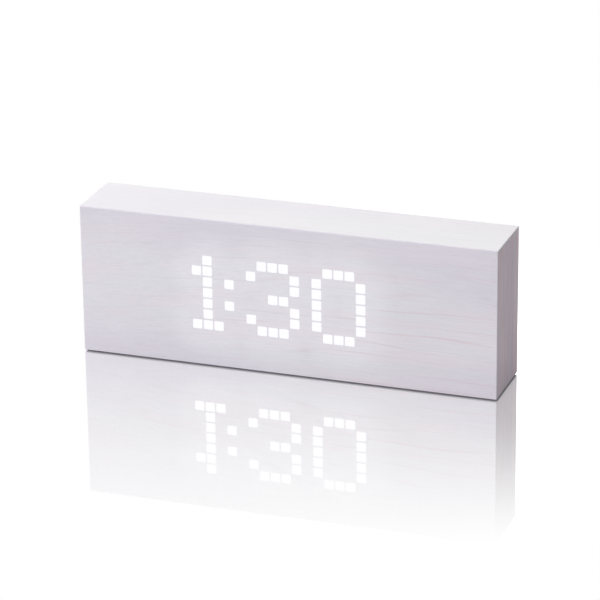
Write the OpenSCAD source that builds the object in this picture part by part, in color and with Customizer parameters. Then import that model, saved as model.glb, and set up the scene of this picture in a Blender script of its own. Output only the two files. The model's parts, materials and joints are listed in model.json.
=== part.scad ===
// Digital alarm clock: a wood-veneered block whose dot-matrix display shines through the front skin.
// X runs along the width, Y from the front (-) to the back (+) and Z up.
// The origin is on the table, under the middle of the block. Sizes are in millimetres.

/* [Block] */
// Width of the block, over the end veneers
block_w = 210; // [204:1:260]
// Height of the block, without its feet
block_h = 75; // [72:1:110]
// Depth of the block, from front face to back face
block_d = 36; // [35:1:60]
// Thickness of the fibreboard panels
board_t = 5; // [4.6:0.1:6]
// Thickness of the wood skin
veneer_t = 0.6; // [0.4:0.1:1]

/* [Feet] */
// Diameter of a foot pad
foot_d = 10; // [6:1:14]
// Thickness of a foot pad, which is the gap under the block
foot_h = 0.6; // [0.4:0.1:3]
// From the block's faces to the middle of a foot pad
foot_inset = 9; // [8:0.5:12]

/* [Display] */
// Columns of pixels
pixel_cols = 25; // [21:1:29]
// Rows of pixels
pixel_rows = 7; // [7:1:8]
// From one pixel to the next
pixel_pitch = 5.53; // [5:0.01:6]
// From the block's middle to the display's middle, to the right
matrix_x = -1; // [-3:0.5:3]
// Wall between two cells of the light grid
pixel_wall = 0.75; // [0.5:0.05:1.2]
// Frame round the outermost cells of the light grid
grid_rim = 1.5; // [1:0.1:2]
// Width of the flange that holds the light grid behind the front board
flange_w = 6; // [5.4:0.1:7]
// Thickness of that flange
flange_t = 1.3; // [1:0.1:2]
// Thickness of the diffuser film
film_t = 0.3; // [0.2:0.05:0.5]
// Thickness of both circuit boards
pcb_t = 1.6; // [1:0.1:2]
// Length of a light-emitting diode's package
led_l = 3.5; // [2.8:0.1:3.7]
// Width of a light-emitting diode's package
led_w = 2.8; // [2:0.1:3.2]
// Height of a light-emitting diode's package
led_h = 0.8; // [0.6:0.1:1.2]
// Length of a display screw under its head
display_screw_l = 6; // [5:0.1:6.5]

/* [Control tray] */
// Width of the recess in the back
recess_w = 150; // [142:1:160]
// Height of the recess in the back
recess_h = 46; // [44:1:50]
// Depth of the recess, from the back face to the tray's floor
recess_d = 6; // [5.5:0.1:7]
// Corner radius of the recess
recess_r = 5; // [3:0.5:6]
// Thickness of the tray's floor and side walls
tray_t = 1.8; // [1.6:0.1:2.2]
// Width of the tray's rim
rim_w = 8; // [7.4:0.1:9]
// Thickness of the tray's rim
rim_t = 2.2; // [2:0.1:3]
// Outer corner radius of the rim
rim_r = 4.5; // [3:0.5:5.5]
// From the rim's outer edges to the middle of a tray screw
tray_screw_inset = 3.4; // [3.2:0.1:3.8]
// Length of a tray screw under its head
tray_screw_l = 4; // [3:0.1:4.3]

/* [Main board] */
// Height of the main circuit board
main_h = 40; // [38:1:44]
// From the middle of the power socket to the main board's edge
socket_to_board = 14; // [9:0.5:16]
// From the main board's edges to the middle of its screw bosses
boss_inset = 3.5; // [3:0.1:4.5]
// Radius of a screw boss
boss_r = 2.6; // [2.2:0.1:3]
// Length of a main board screw under its head
main_screw_l = 5; // [4:0.1:6.5]

/* [Push buttons] */
// Diameter of a push button
button_d = 8; // [7:0.5:10]
// From one push button to the next
button_pitch = 15; // [14:0.5:16]
// How far the push buttons lie below the middle of the recess
button_drop = 10; // [8:0.5:12]
// How far a push button stands out of the tray's floor
button_proud = 1.7; // [1:0.1:2.2]
// Travel of a push button
button_travel = 0.4; // [0.2:0.05:0.6]
// Clearance round a push button in its hole
button_gap = 0.25; // [0.15:0.05:0.4]
// Thickness of the flange that keeps a push button in the tray
cap_flange_t = 1; // [0.8:0.1:1.4]
// Width of a tact switch's housing
tact_w = 6; // [5.5:0.1:6.5]
// Height of a tact switch's housing
tact_body_h = 3.5; // [3:0.1:4]
// Height of a tact switch with its plunger up
tact_h = 5; // [4.6:0.1:6]
// Diameter of a tact switch's plunger
plunger_d = 3.5; // [3:0.1:4]

/* [Slide switches] */
// How far the slide switches lie above the middle of the recess
switch_rise = 10; // [8:0.5:12]
// Travel of a slide switch from OFF to ON
switch_travel = 2; // [1.5:0.1:3]
// Width of a switch knob along its travel
knob_w = 2.6; // [2:0.1:3]
// Thickness of a switch knob across its travel
knob_t = 1.8; // [1.4:0.1:2.4]
// How far a switch knob stands out of the tray's floor
knob_proud = 1.3; // [0.8:0.1:1.7]

/* [Sound and temperature] */
// Diameter of the buzzer
buzzer_d = 12; // [9:0.5:13]
// Height of the buzzer
buzzer_h = 5.2; // [4:0.1:5.8]
// Diameter of the microphone capsule
mic_d = 6; // [4.5:0.1:6.5]
// Height of the microphone capsule
mic_h = 2.7; // [2:0.1:3]
// Diameter of the microphone's hole in the tray
mic_hole_d = 1.8; // [1:0.1:2.5]
// Diameter of one hole of the buzzer's grille
grille_hole_d = 1.6; // [1:0.1:2]
// Width of one vent slot in front of the temperature sensor
vent_w = 1.2; // [0.8:0.1:1.4]
// Height of one vent slot
vent_h = 7; // [5:0.5:9]

/* [Power socket] */
// From the recess's end wall to the middle of the power socket
jack_inset = 14; // [11:0.5:15]
// Diameter of the bore that takes the plug's barrel
jack_bore_d = 5.8; // [5.6:0.1:6.4]
// Depth of that bore, from the socket's mouth
jack_bore_depth = 10.5; // [9:0.1:11]
// Outer diameter of the socket's threaded barrel
jack_barrel_d = 8; // [7.8:0.1:9]
// Diameter of the socket's front flange
jack_flange_d = 11.2; // [10:0.1:12]
// Thickness of that flange
jack_flange_t = 1.5; // [1:0.1:1.7]
// Diameter of the centre pin
centre_pin_d = 2; // [1.6:0.05:2.5]
// How far the centre pin's tip lies inside the socket's mouth
pin_setback = 1.6; // [1:0.1:3]
// Width of the socket's nut across its flats
nut_af = 11; // [10.6:0.1:12.5]
// Thickness of the socket's nut
nut_t = 2; // [1.5:0.1:3]

/* [Memory cell] */
// From the recess's end wall to the middle of the memory cell
cell_inset = 20; // [18:0.5:23]
// Diameter of the memory cell
cell_d = 20; // [18:0.5:20.5]
// Thickness of the memory cell
cell_t = 3.2; // [2:0.1:3.6]
// Width and height of the cell door
door_w = 28; // [27.5:0.5:29]
// Thickness of the cell door
door_t = 1.5; // [1.2:0.1:1.7]
// Gap round the cell door
door_gap = 0.3; // [0.2:0.05:0.4]
// Radius of the door's hinge barrel
barrel_r = 1.2; // [1:0.1:1.3]
// Radius of the door's hinge pins
hinge_pin_r = 0.6; // [0.5:0.05:0.7]

/* [Hidden] */
$fn = 48;
eps = 0.01;

// General clearances
fit_gap = 0.2;          // moulded part in its seat
pilot_gap = 0.05;       // screw or pin in its hole
through_gap = 0.3;      // screw shank in a clearance hole

// Outer faces of the block
x_out = block_w / 2;
y_front = -block_d / 2;
y_back = block_d / 2;
z_bot = foot_h;
z_top = foot_h + block_h;
z_mid = foot_h + block_h / 2;

// Faces of the boards
y_skin_in = y_front + veneer_t;
y_front_in = y_skin_in + board_t;
y_back_skin = y_back - veneer_t;
y_back_in = y_back_skin - board_t;
x_board = x_out - veneer_t;
x_cavity = x_board - board_t;
z_board_bot = z_bot + veneer_t;
z_board_top = z_top - veneer_t;
z_cavity_bot = z_board_bot + board_t;
z_cavity_top = z_board_top - board_t;

// Display stack, from the skin inwards
matrix_w = pixel_cols * pixel_pitch;
matrix_h = pixel_rows * pixel_pitch;
grid_w = matrix_w + 2 * grid_rim;
grid_h = matrix_h + 2 * grid_rim;
flange_ow = grid_w + 2 * flange_w;
flange_oh = grid_h + 2 * flange_w;
cell_w = pixel_pitch - pixel_wall;
y_grid = y_skin_in + film_t;
y_leds = y_front_in + flange_t;
y_led_back = y_leds + pcb_t;

// Rear stack, from the back face inwards
y_floor = y_back - recess_d;
y_floor_in = y_floor - tray_t;
cap_gap = 0.1;
y_cap = y_floor_in - cap_gap - cap_flange_t;
y_main_back = y_cap - tact_h;
y_main_front = y_main_back - pcb_t;

// Main board, between the memory cell's block and the power socket
contact_t = 0.25;
contact_gap = 0.3;
block_wall = 2.5;
cell_x = -recess_w / 2 + cell_inset;
block_half = door_w / 2 + door_gap + block_wall;
block_gap = 1.2;
jack_x = recess_w / 2 - jack_inset;
main_x0 = cell_x + block_half + block_gap;
main_x1 = jack_x - socket_to_board;
main_cx = (main_x0 + main_x1) / 2;

// Pan-head screws
head_r = 2.2;
head_h = 1.2;
shank_r = 1.1;
main_shank_r = 1;
tip_l = 1;
cross_l = 2.6;
cross_w = 0.55;
cross_depth = 0.7;

// Screw places, as distances from the block's middle
display_screw_x = flange_ow / 2 - flange_w / 2;
display_screw_z = flange_oh / 2 - flange_w / 2;
tray_screw_x = recess_w / 2 + rim_w - tray_screw_inset;
tray_screw_z = recess_h / 2 + rim_w - tray_screw_inset;

// The controls share five columns, counted from the power socket's side
function column_x(i) = main_cx + (2 - i) * button_pitch;
button_z = z_mid - button_drop;
switch_z = z_mid + switch_rise;
alarm_switch_x = column_x(0);
sound_switch_x = column_x(1);
buzzer_x = column_x(2);
mic_x = column_x(3);
vent_x = column_x(4);

// Push buttons and tact switches
cap_lip = 0.9;
cap_chamfer = 0.5;
dish_depth = 0.35;
plunger_gap = 0.1;
plunger_sunk = 1.6;

// Slide switches
case_wall = 0.3;
case_side = 0.6;
case_h = 3.6;
slider_side = 0.8;
slider_step = 0.5;
slider_l = knob_w + 2 * slider_side;
slider_w = knob_t + 2 * slider_step;
slider_gap = 0.2;
knob_slot_l = knob_w + switch_travel + 2 * fit_gap;
knob_slot_w = knob_t + 2 * fit_gap;
case_l = slider_l + switch_travel + 2 * slider_gap + 2 * case_side;
case_w = slider_w + 2 * slider_gap + 2 * case_side;

// Buzzer, microphone and vents
grille_ring_r = 2.7;
sound_hole_r = 1;
sound_hole_depth = 1;
boot_t = 1;
boot_tail = 0.9;
boot_r = mic_d / 2 + boot_t;
y_capsule = y_floor_in - mic_h;
y_boot = y_capsule - boot_tail;
ring_wall = 1.2;
ring_short = 0.4;
lead_r = 0.25;
bead_r = 1.2;
vent_step = 2.6;
vent_count = 4;

// Power socket
y_mouth = y_floor + jack_flange_t;
y_bore_end = y_mouth - jack_bore_depth;
jack_rear_t = 1.5;
jack_chamfer = 0.4;
y_jack_end = y_bore_end - jack_rear_t;
pin_tail_r = 0.7;
pin_tail_l = 1.2;
pin_tip = 0.4;
terminal_l = 3;
terminal_z = [-3.2, -1.8];
terminal_w = 2.4;
wire_r = 0.6;
wire_reach = 4;
wire_pad_inset = 4;
wire_pad_z = 3;
wire_steps = 16;
wire_sides = 8;

// Memory cell, its pocket and its contacts
contact_w = 3;
contact_reach = 4;
door_seat_gap = 0.1;
leaf_gap = 0.15;
y_door_in = y_floor - door_t;
y_ledge = y_door_in - door_seat_gap;
y_cell_top = y_floor_in - leaf_gap - contact_t;
y_cell_bot = y_cell_top - cell_t;
tongue_h = 0.6;
y_cup = y_cell_bot - tongue_h;
cup_t = 1;
cell_gap = 0.3;
cell_step = 0.5;
cell_rim = 1.2;
riser_x = main_x0 - contact_gap - contact_t;
contact_foot = 3;
top_contact_rise = 5.5;
top_contact_z = z_mid + top_contact_rise;
hinge_x = cell_x - door_w / 2 + barrel_r;
hinge_y = y_floor - barrel_r;
hinge_pin_l = 1.2;
notch_r = 3;
notch_depth = 1.1;

// Ribbon between the two boards
ribbon_w = 16;
ribbon_t = 0.4;
ribbon_shift = 24;
ribbon_x = main_cx - ribbon_shift;
ribbon_grip = 2.5;
socket_w = 19;
socket_h = 4.4;
socket_t = 2.2;
socket_rise = 8;
socket_z = z_mid + socket_rise;
y_ribbon_a = y_led_back + socket_t / 2;
y_ribbon_b = y_main_front - socket_t / 2;
ribbon_r = (y_ribbon_b - y_ribbon_a) / 2;
ribbon_rise = 3.5;

// Chips as [length, width, height, legs in a row]
driver_chip = [10, 4.4, 1.6, 8];
micro_chip = [10, 10, 1.6, 11];
time_chip = [5, 4, 1.5, 4];
leg_reach = 0.9;
leg_w = 0.4;
leg_t = 0.5;

// Places on the display board, from its middle
driver_count = 4;
driver_step = 36;
driver_drop = 4;
display_resistor_count = 8;
display_resistor_step = 12;
display_resistor_drop = 12;

// Places on the main board, from its middle, as [across, up]
micro_at = [4, -3];
time_chip_at = [-14, -11];
crystal_at = [-28, -11];
regulator_at = [28, -10];
resistor_at = [-6, 5.5];
resistor_count = 7;
resistor_step = 3.2;
resistor = [2, 1.25, 0.5];
crystal_r = 1.5;
crystal_l = 7;

// Capacitors as [across, up, radius, height]
capacitor_list = [[18, 13, 3, 6], [26.5, 13, 3, 6], [16, -14, 2.5, 5]];

// Voltage regulator: its body, its tab and its three legs
regulator = [6.5, 3.5, 1.7];
regulator_tab = [3, 2.6, 0.5];
regulator_leg = [0.7, 2.4, 0.5];
regulator_leg_step = 2.3;

// Place of copy i in a centred row of count copies
function row_place(i, count, step) = (i - (count - 1) / 2) * step;

// A block between two corners, each axis given as [low, high]
module slab(x, y, z) {
    translate([x[0], y[0], z[0]])
        cube([x[1] - x[0], y[1] - y[0], z[1] - z[0]]);
}

// Extrudes a 2D shape, drawn in X and Z, from y0 to y1
module plate_y(y0, y1) {
    translate([0, y1, 0])
        rotate([90, 0, 0])
            linear_extrude(y1 - y0)
                children();
}

// A rectangle with round corners, about the origin
module round_rect(w, h, r) {
    square([w - 2 * r, h], center = true);
    square([w, h - 2 * r], center = true);
    for (sx = [-1, 1], sz = [-1, 1])
        translate([sx * (w / 2 - r), sz * (h / 2 - r)])
            circle(r);
}

// Puts a part on a face that looks to the back: its own Z is +Y
module facing_back(x, y, z) {
    translate([x, y, z])
        rotate([-90, 0, 0])
            children();
}

// Puts a part on a face that looks to the front: its own Z is -Y
module facing_front(x, y, z) {
    translate([x, y, z])
        rotate([90, 0, 0])
            children();
}

// A flat part about its own Z axis, standing on its seat
module on_seat(w, h, t) {
    translate([-w / 2, -h / 2, 0])
        cube([w, h, t]);
}

// Pan-head screw, seated under its head, with a cross recess
module pan_screw(r, length) {
    difference() {
        union() {
            cylinder(h = head_h, r = head_r);
            translate([0, 0, tip_l - length])
                cylinder(h = length - tip_l, r = r);
            translate([0, 0, -length])
                cylinder(h = tip_l, r1 = r / 3, r2 = r);
        }
        for (turn = [0, 90])
            rotate([0, 0, turn])
                translate([0, 0, head_h - cross_depth])
                    on_seat(cross_l, cross_w, cross_depth + eps);
    }
}

// A flat piece about the display's middle
module display_plate(w, h, y0, y1) {
    slab([matrix_x - w / 2, matrix_x + w / 2], [y0, y1], [z_mid - h / 2, z_mid + h / 2]);
}

// Every cell of the display matrix, at its middle
module each_pixel(y) {
    for (c = [0 : pixel_cols - 1], r = [0 : pixel_rows - 1])
        translate([
            matrix_x + row_place(c, pixel_cols, pixel_pitch),
            y,
            z_mid + row_place(r, pixel_rows, pixel_pitch)
        ])
            children();
}

// Six screws: a row of three above and a row of three below
module each_display_screw(y) {
    for (sx = [-1, 0, 1], sz = [-1, 1])
        translate([matrix_x + sx * display_screw_x, y, z_mid + sz * display_screw_z])
            children();
}

module each_tray_screw(y) {
    for (sx = [-1, 0, 1], sz = [-1, 1])
        translate([sx * tray_screw_x, y, z_mid + sz * tray_screw_z])
            children();
}

// Four bosses, near the main board's corners
module each_boss(y) {
    for (x = [main_x0 + boss_inset, main_x1 - boss_inset], sz = [-1, 1])
        translate([x, y, z_mid + sz * (main_h / 2 - boss_inset)])
            children();
}

// Gull-wing chip with its legs in two rows along its length
module chip(c) {
    legs = c[3];
    on_seat(c[0], c[1], c[2]);
    for (i = [0 : legs - 1])
        translate([row_place(i, legs, c[0] / legs), 0, 0])
            on_seat(leg_w, c[1] + 2 * leg_reach, leg_t);
}

// Puts a part on the front face of the main board
module on_main_front(at) {
    facing_front(main_cx + at[0], y_main_front, z_mid + at[1])
        children();
}

// Wood skins

module front_veneer() {
    color("#eee8ea")
        slab([-x_out, x_out], [y_front, y_skin_in], [z_bot, z_top]);
}

module back_veneer() {
    color("#eee8ea")
        difference() {
            slab([-x_out, x_out], [y_back_skin, y_back], [z_bot, z_top]);
            rim_seat(y_back_skin - eps, y_back + eps);
        }
}

module top_veneer() {
    color("#f4f0f1")
        slab([-x_out, x_out], [y_skin_in, y_back_skin], [z_board_top, z_top]);
}

module bottom_veneer() {
    color("#e6e0e2")
        slab([-x_out, x_out], [y_skin_in, y_back_skin], [z_bot, z_board_bot]);
}

module end_veneer(side) {
    color("#e2dadd")
        slab(
            side > 0 ? [x_board, x_out] : [-x_out, -x_board],
            [y_skin_in, y_back_skin],
            [z_board_bot, z_board_top]
        );
}

// Fibreboard carcass

module front_board() {
    window_w = grid_w + 2 * fit_gap;
    window_h = grid_h + 2 * fit_gap;
    pilot_depth = display_screw_l - pcb_t - flange_t + through_gap;
    color("#c9a87c")
        difference() {
            slab([-x_board, x_board], [y_skin_in, y_front_in], [z_board_bot, z_board_top]);
            display_plate(window_w, window_h, y_skin_in - eps, y_front_in + eps);
            each_display_screw(y_front_in + eps)
                facing_front(0, 0, 0)
                    cylinder(h = pilot_depth, r = shank_r + pilot_gap);
        }
}

// The seat that the tray's rim fills
module rim_seat(y0, y1) {
    recess_plate(y0, y1, rim_w + fit_gap, rim_r + fit_gap);
}

module back_board() {
    color("#c9a87c")
        difference() {
            slab([-x_board, x_board], [y_back_in, y_back_skin], [z_board_bot, z_board_top]);
            rim_seat(y_back - rim_t, y_back_skin + eps);
            recess_plate(y_back_in - eps, y_back, tray_t + fit_gap, recess_r + tray_t + fit_gap);
            each_tray_screw(y_back_in - eps)
                facing_back(0, 0, 0)
                    cylinder(h = board_t, r = shank_r + pilot_gap);
        }
}

module top_board() {
    color("#c9a87c")
        slab([-x_board, x_board], [y_front_in, y_back_in], [z_cavity_top, z_board_top]);
}

module bottom_board() {
    color("#c9a87c")
        slab([-x_board, x_board], [y_front_in, y_back_in], [z_board_bot, z_cavity_bot]);
}

module end_board(side) {
    color("#c9a87c")
        slab(
            side > 0 ? [x_cavity, x_board] : [-x_board, -x_cavity],
            [y_front_in, y_back_in],
            [z_cavity_bot, z_cavity_top]
        );
}

module feet() {
    color("#d8d8d8")
        for (sx = [-1, 1], sy = [-1, 1])
            translate([sx * (x_out - foot_inset), sy * (y_back - foot_inset), 0])
                cylinder(h = foot_h, r = foot_d / 2);
}

// Display

module diffuser_film() {
    color("white")
        display_plate(grid_w, grid_h, y_skin_in, y_grid);
}

module light_grid() {
    color("white")
        difference() {
            union() {
                display_plate(grid_w, grid_h, y_grid, y_leds);
                display_plate(flange_ow, flange_oh, y_front_in, y_leds);
            }
            each_pixel(y_leds + eps)
                facing_front(0, 0, 0)
                    on_seat(cell_w, cell_w, y_leds - y_grid + 2 * eps);
            each_display_screw(y_leds + eps)
                facing_front(0, 0, 0)
                    cylinder(h = flange_t + 2 * eps, r = shank_r + through_gap);
        }
}

// Milky resin that fills each cell in front of its diode
module pixel_lenses() {
    color("#f4f4f0")
        each_pixel(y_leds - led_h)
            facing_front(0, 0, 0)
                on_seat(cell_w, cell_w, y_leds - led_h - y_grid);
}

module led_board() {
    color("#e9ece8")
        difference() {
            display_plate(flange_ow, flange_oh, y_leds, y_led_back);
            each_display_screw(y_led_back + eps)
                facing_front(0, 0, 0)
                    cylinder(h = pcb_t + 2 * eps, r = shank_r + through_gap);
        }
}

module leds() {
    color("#fff6c8")
        each_pixel(y_leds)
            facing_front(0, 0, 0)
                on_seat(led_l, led_w, led_h);
}

module display_screws() {
    color("#b8bcc0")
        each_display_screw(y_led_back)
            facing_back(0, 0, 0)
                pan_screw(shank_r, display_screw_l);
}

module driver_chips() {
    color("#26282b")
        for (i = [0 : driver_count - 1])
            facing_back(matrix_x + row_place(i, driver_count, driver_step), y_led_back, z_mid - driver_drop)
                chip(driver_chip);
}

module ribbon_sockets() {
    color("#e8dcc0")
        for (y = [y_ribbon_a, y_ribbon_b])
            ribbon_socket(y);
}

// A flat-cable socket, open at its top edge
module ribbon_socket(y_slot) {
    difference() {
        slab([ribbon_x - socket_w / 2, ribbon_x + socket_w / 2],
            [y_slot - socket_t / 2, y_slot + socket_t / 2],
            [socket_z - socket_h / 2, socket_z + socket_h / 2]);
        slab([ribbon_x - ribbon_w / 2 - fit_gap, ribbon_x + ribbon_w / 2 + fit_gap],
            [y_slot - ribbon_t / 2 - pilot_gap, y_slot + ribbon_t / 2 + pilot_gap],
            [socket_z + socket_h / 2 - ribbon_grip, socket_z + socket_h / 2 + eps]);
    }
}

// Flat cable: up from one socket, over in a half turn and down into the other
module display_ribbon() {
    leg_z0 = socket_z + socket_h / 2 - ribbon_grip;
    leg_z1 = socket_z + socket_h / 2 + ribbon_rise;
    color("#f2f2ee")
        translate([ribbon_x - ribbon_w / 2, 0, 0])
            rotate([90, 0, 90])
                linear_extrude(ribbon_w) {
                    for (y = [y_ribbon_a, y_ribbon_b])
                        translate([y - ribbon_t / 2, leg_z0])
                            square([ribbon_t, leg_z1 - leg_z0]);
                    translate([y_ribbon_a + ribbon_r, leg_z1])
                        difference() {
                            circle(ribbon_r + ribbon_t / 2);
                            circle(ribbon_r - ribbon_t / 2);
                            translate([-ribbon_r * 2, -ribbon_r * 2])
                                square([ribbon_r * 4, ribbon_r * 2]);
                        }
                }
}

// Control tray

// A plate with the recess's outline, wider than the recess by a margin all round
module recess_plate(y0, y1, margin, r) {
    translate([0, 0, z_mid])
        plate_y(y0, y1)
            round_rect(recess_w + 2 * margin, recess_h + 2 * margin, r);
}

module tray_shell() {
    difference() {
        union() {
            recess_plate(y_back - rim_t, y_back, rim_w, rim_r);
            recess_plate(y_floor_in, y_back, tray_t, recess_r + tray_t);
        }
        recess_plate(y_floor, y_back + eps, 0, recess_r);
    }
    // bosses for the main board
    each_boss(y_main_back)
        facing_back(0, 0, 0)
            cylinder(h = y_floor_in - y_main_back + eps, r = boss_r);
    // ring that holds the microphone's boot
    facing_back(mic_x, y_boot + ring_short, switch_z)
        cylinder(h = y_floor_in - y_boot, r = boot_r + pilot_gap + ring_wall);
    // block that holds the memory cell and the door's hinge
    slab([cell_x - block_half, cell_x + block_half], [y_cup - cup_t, y_floor_in + eps],
        [z_mid - block_half, z_mid + block_half]);
}

module cell_pocket() {
    // seat of the door
    slab([cell_x - door_w / 2 - door_gap, cell_x + door_w / 2 + door_gap], [y_ledge, y_floor + eps],
        [z_mid - door_w / 2 - door_gap, z_mid + door_w / 2 + door_gap]);
    // groove round the hinge barrel, and the holes of its pins
    translate([hinge_x, hinge_y, z_mid - door_w / 2 - door_gap])
        cylinder(h = door_w + 2 * door_gap, r = barrel_r + door_gap);
    translate([hinge_x, hinge_y, z_mid - door_w / 2 - door_gap - hinge_pin_l])
        cylinder(h = door_w + 2 * door_gap + 2 * hinge_pin_l, r = hinge_pin_r + pilot_gap);
    // round pocket of the cell
    facing_back(cell_x, y_cup, z_mid)
        cylinder(h = y_ledge - y_cup + eps, r = cell_d / 2 + cell_gap);
    // slots that let the contacts out towards the main board
    slab([cell_x, cell_x + block_half + eps], [y_cup, y_cup + contact_t + fit_gap],
        [z_mid - contact_w / 2 - fit_gap, z_mid + contact_w / 2 + fit_gap]);
    slab([cell_x, cell_x + block_half + eps], [y_cell_top - pilot_gap, y_ledge + eps],
        [top_contact_z - contact_w / 2 - fit_gap, top_contact_z + contact_w / 2 + fit_gap]);
    // fingernail scoop beside the door
    translate([cell_x + door_w / 2, y_floor - notch_depth + notch_r, z_mid])
        sphere(notch_r);
}

// A round hole through the tray's floor
module floor_hole(x, z, r) {
    facing_back(x, y_floor_in - eps, z)
        cylinder(h = tray_t + 2 * eps, r = r);
}

module control_tray() {
    color("#f3f2f0")
        difference() {
            tray_shell();
            cell_pocket();
            for (i = [0 : 4])
                floor_hole(column_x(i), button_z, button_d / 2 + button_gap);
            for (x = [alarm_switch_x, sound_switch_x])
                facing_back(x, y_floor_in - eps, switch_z)
                    on_seat(knob_slot_l, knob_slot_w, tray_t + 2 * eps);
            floor_hole(buzzer_x, switch_z, grille_hole_d / 2);
            for (turn = [0 : 60 : 300])
                floor_hole(
                    buzzer_x + grille_ring_r * cos(turn),
                    switch_z + grille_ring_r * sin(turn),
                    grille_hole_d / 2
                );
            facing_back(mic_x, y_boot, switch_z)
                cylinder(h = y_floor_in - y_boot, r = boot_r + pilot_gap);
            floor_hole(mic_x, switch_z, mic_hole_d / 2);
            for (i = [0 : vent_count - 1])
                facing_back(vent_x + row_place(i, vent_count, vent_step), y_floor_in - eps, switch_z)
                    on_seat(vent_w, vent_h, tray_t + 2 * eps);
            floor_hole(jack_x, z_mid, jack_barrel_d / 2 + pilot_gap);
            each_boss(y_main_back - eps)
                facing_back(0, 0, 0)
                    cylinder(h = main_screw_l - pcb_t + through_gap, r = main_shank_r + pilot_gap);
            each_tray_screw(y_back - rim_t - eps)
                facing_back(0, 0, 0) {
                    cylinder(h = rim_t + 2 * eps, r = shank_r + through_gap);
                    translate([0, 0, rim_t - head_h + eps])
                        cylinder(h = head_h + eps, r = head_r + fit_gap);
                }
        }
}

module tray_screws() {
    color("#c4c7ca")
        each_tray_screw(y_back - head_h)
            facing_back(0, 0, 0)
                pan_screw(shank_r, tray_screw_l);
}

// Main board and what is soldered to it

module main_board() {
    color("#2f6b4a")
        difference() {
            slab([main_x0, main_x1], [y_main_front, y_main_back],
                [z_mid - main_h / 2, z_mid + main_h / 2]);
            each_boss(y_main_front - eps)
                facing_back(0, 0, 0)
                    cylinder(h = pcb_t + 2 * eps, r = main_shank_r + through_gap);
        }
}

module main_board_screws() {
    color("#b8bcc0")
        each_boss(y_main_front)
            facing_front(0, 0, 0)
                pan_screw(main_shank_r, main_screw_l);
}

module microcontroller() {
    color("#26282b")
        on_main_front(micro_at)
            for (turn = [0, 90])
                rotate([0, 0, turn])
                    chip(micro_chip);
}

module clock_chip() {
    color("#26282b")
        on_main_front(time_chip_at)
            chip(time_chip);
}

module watch_crystal() {
    color("#c9ccd0")
        on_main_front(crystal_at)
            translate([0, 0, crystal_r])
                rotate([0, 90, 0])
                    cylinder(h = crystal_l, r = crystal_r);
}

module voltage_regulator() {
    color("#26282b")
        on_main_front(regulator_at) {
            on_seat(regulator[0], regulator[1], regulator[2]);
            translate([0, regulator[1] / 2, 0])
                on_seat(regulator_tab[0], regulator_tab[1], regulator_tab[2]);
            for (i = [-1, 0, 1])
                translate([i * regulator_leg_step, -regulator[1] / 2, 0])
                    on_seat(regulator_leg[0], regulator_leg[1], regulator_leg[2]);
        }
}

module capacitors() {
    color("#4a5a8c")
        for (c = capacitor_list)
            on_main_front(c)
                cylinder(h = c[3], r = c[2]);
}

module chip_resistors() {
    color("#3a3a3e") {
        for (i = [0 : resistor_count - 1])
            on_main_front([resistor_at[0] + i * resistor_step, resistor_at[1]])
                on_seat(resistor[1], resistor[0], resistor[2]);
        for (i = [0 : display_resistor_count - 1])
            facing_back(
                matrix_x + row_place(i, display_resistor_count, display_resistor_step),
                y_led_back,
                z_mid - display_resistor_drop
            )
                on_seat(resistor[0], resistor[1], resistor[2]);
    }
}

// Sound and temperature

module buzzer() {
    color("#2b2b2d")
        facing_back(buzzer_x, y_main_back, switch_z)
            difference() {
                cylinder(h = buzzer_h, r = buzzer_d / 2);
                translate([0, 0, buzzer_h - sound_hole_depth])
                    cylinder(h = sound_hole_depth + eps, r = sound_hole_r);
            }
}

module microphone() {
    color("#b9bcc0") {
        facing_back(mic_x, y_capsule, switch_z)
            cylinder(h = mic_h, r = mic_d / 2);
        lead_pair(mic_x, mic_d / 4, y_capsule);
    }
}

// Two leads that stand on the main board
module lead_pair(x, half_step, y_end) {
    for (side = [-1, 1])
        facing_back(x + side * half_step, y_main_back, switch_z)
            cylinder(h = y_end - y_main_back, r = lead_r);
}

module microphone_boot() {
    color("#38383a")
        facing_back(mic_x, y_boot, switch_z)
            difference() {
                cylinder(h = y_floor_in - y_boot, r = boot_r);
                translate([0, 0, -eps])
                    cylinder(h = y_floor_in - y_boot + 2 * eps, r = mic_d / 2);
            }
}

module thermistor() {
    y_bead = y_floor_in - 2 * bead_r;
    color("#3d3a2c") {
        translate([vent_x, y_bead, switch_z])
            sphere(bead_r);
        lead_pair(vent_x, bead_r / 2, y_bead);
    }
}

// Power socket

module dc_jack_body() {
    flange_r = jack_flange_d / 2;
    color("#2b2b2d")
        facing_back(jack_x, y_jack_end, z_mid)
            difference() {
                union() {
                    cylinder(h = y_floor - y_jack_end + eps, r = jack_barrel_d / 2);
                    translate([0, 0, y_floor - y_jack_end])
                        cylinder(h = jack_flange_t - jack_chamfer, r = flange_r);
                    translate([0, 0, y_mouth - y_jack_end - jack_chamfer])
                        cylinder(h = jack_chamfer, r1 = flange_r, r2 = flange_r - jack_chamfer);
                }
                translate([0, 0, jack_rear_t])
                    cylinder(h = jack_bore_depth + eps, r = jack_bore_d / 2);
                translate([0, 0, -eps])
                    cylinder(h = jack_rear_t + 2 * eps, r = pin_tail_r + pilot_gap);
            }
}

module dc_jack_pin() {
    color("#c9ccd0")
        facing_back(jack_x, y_bore_end, z_mid) {
            pin_l = jack_bore_depth - pin_setback;
            cylinder(h = pin_l - pin_tip, r = centre_pin_d / 2);
            translate([0, 0, pin_l - pin_tip])
                cylinder(h = pin_tip, r1 = centre_pin_d / 2, r2 = centre_pin_d / 2 - pin_tip);
            translate([0, 0, -jack_rear_t - pin_tail_l])
                cylinder(h = jack_rear_t + pin_tail_l + eps, r = pin_tail_r);
        }
}

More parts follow.
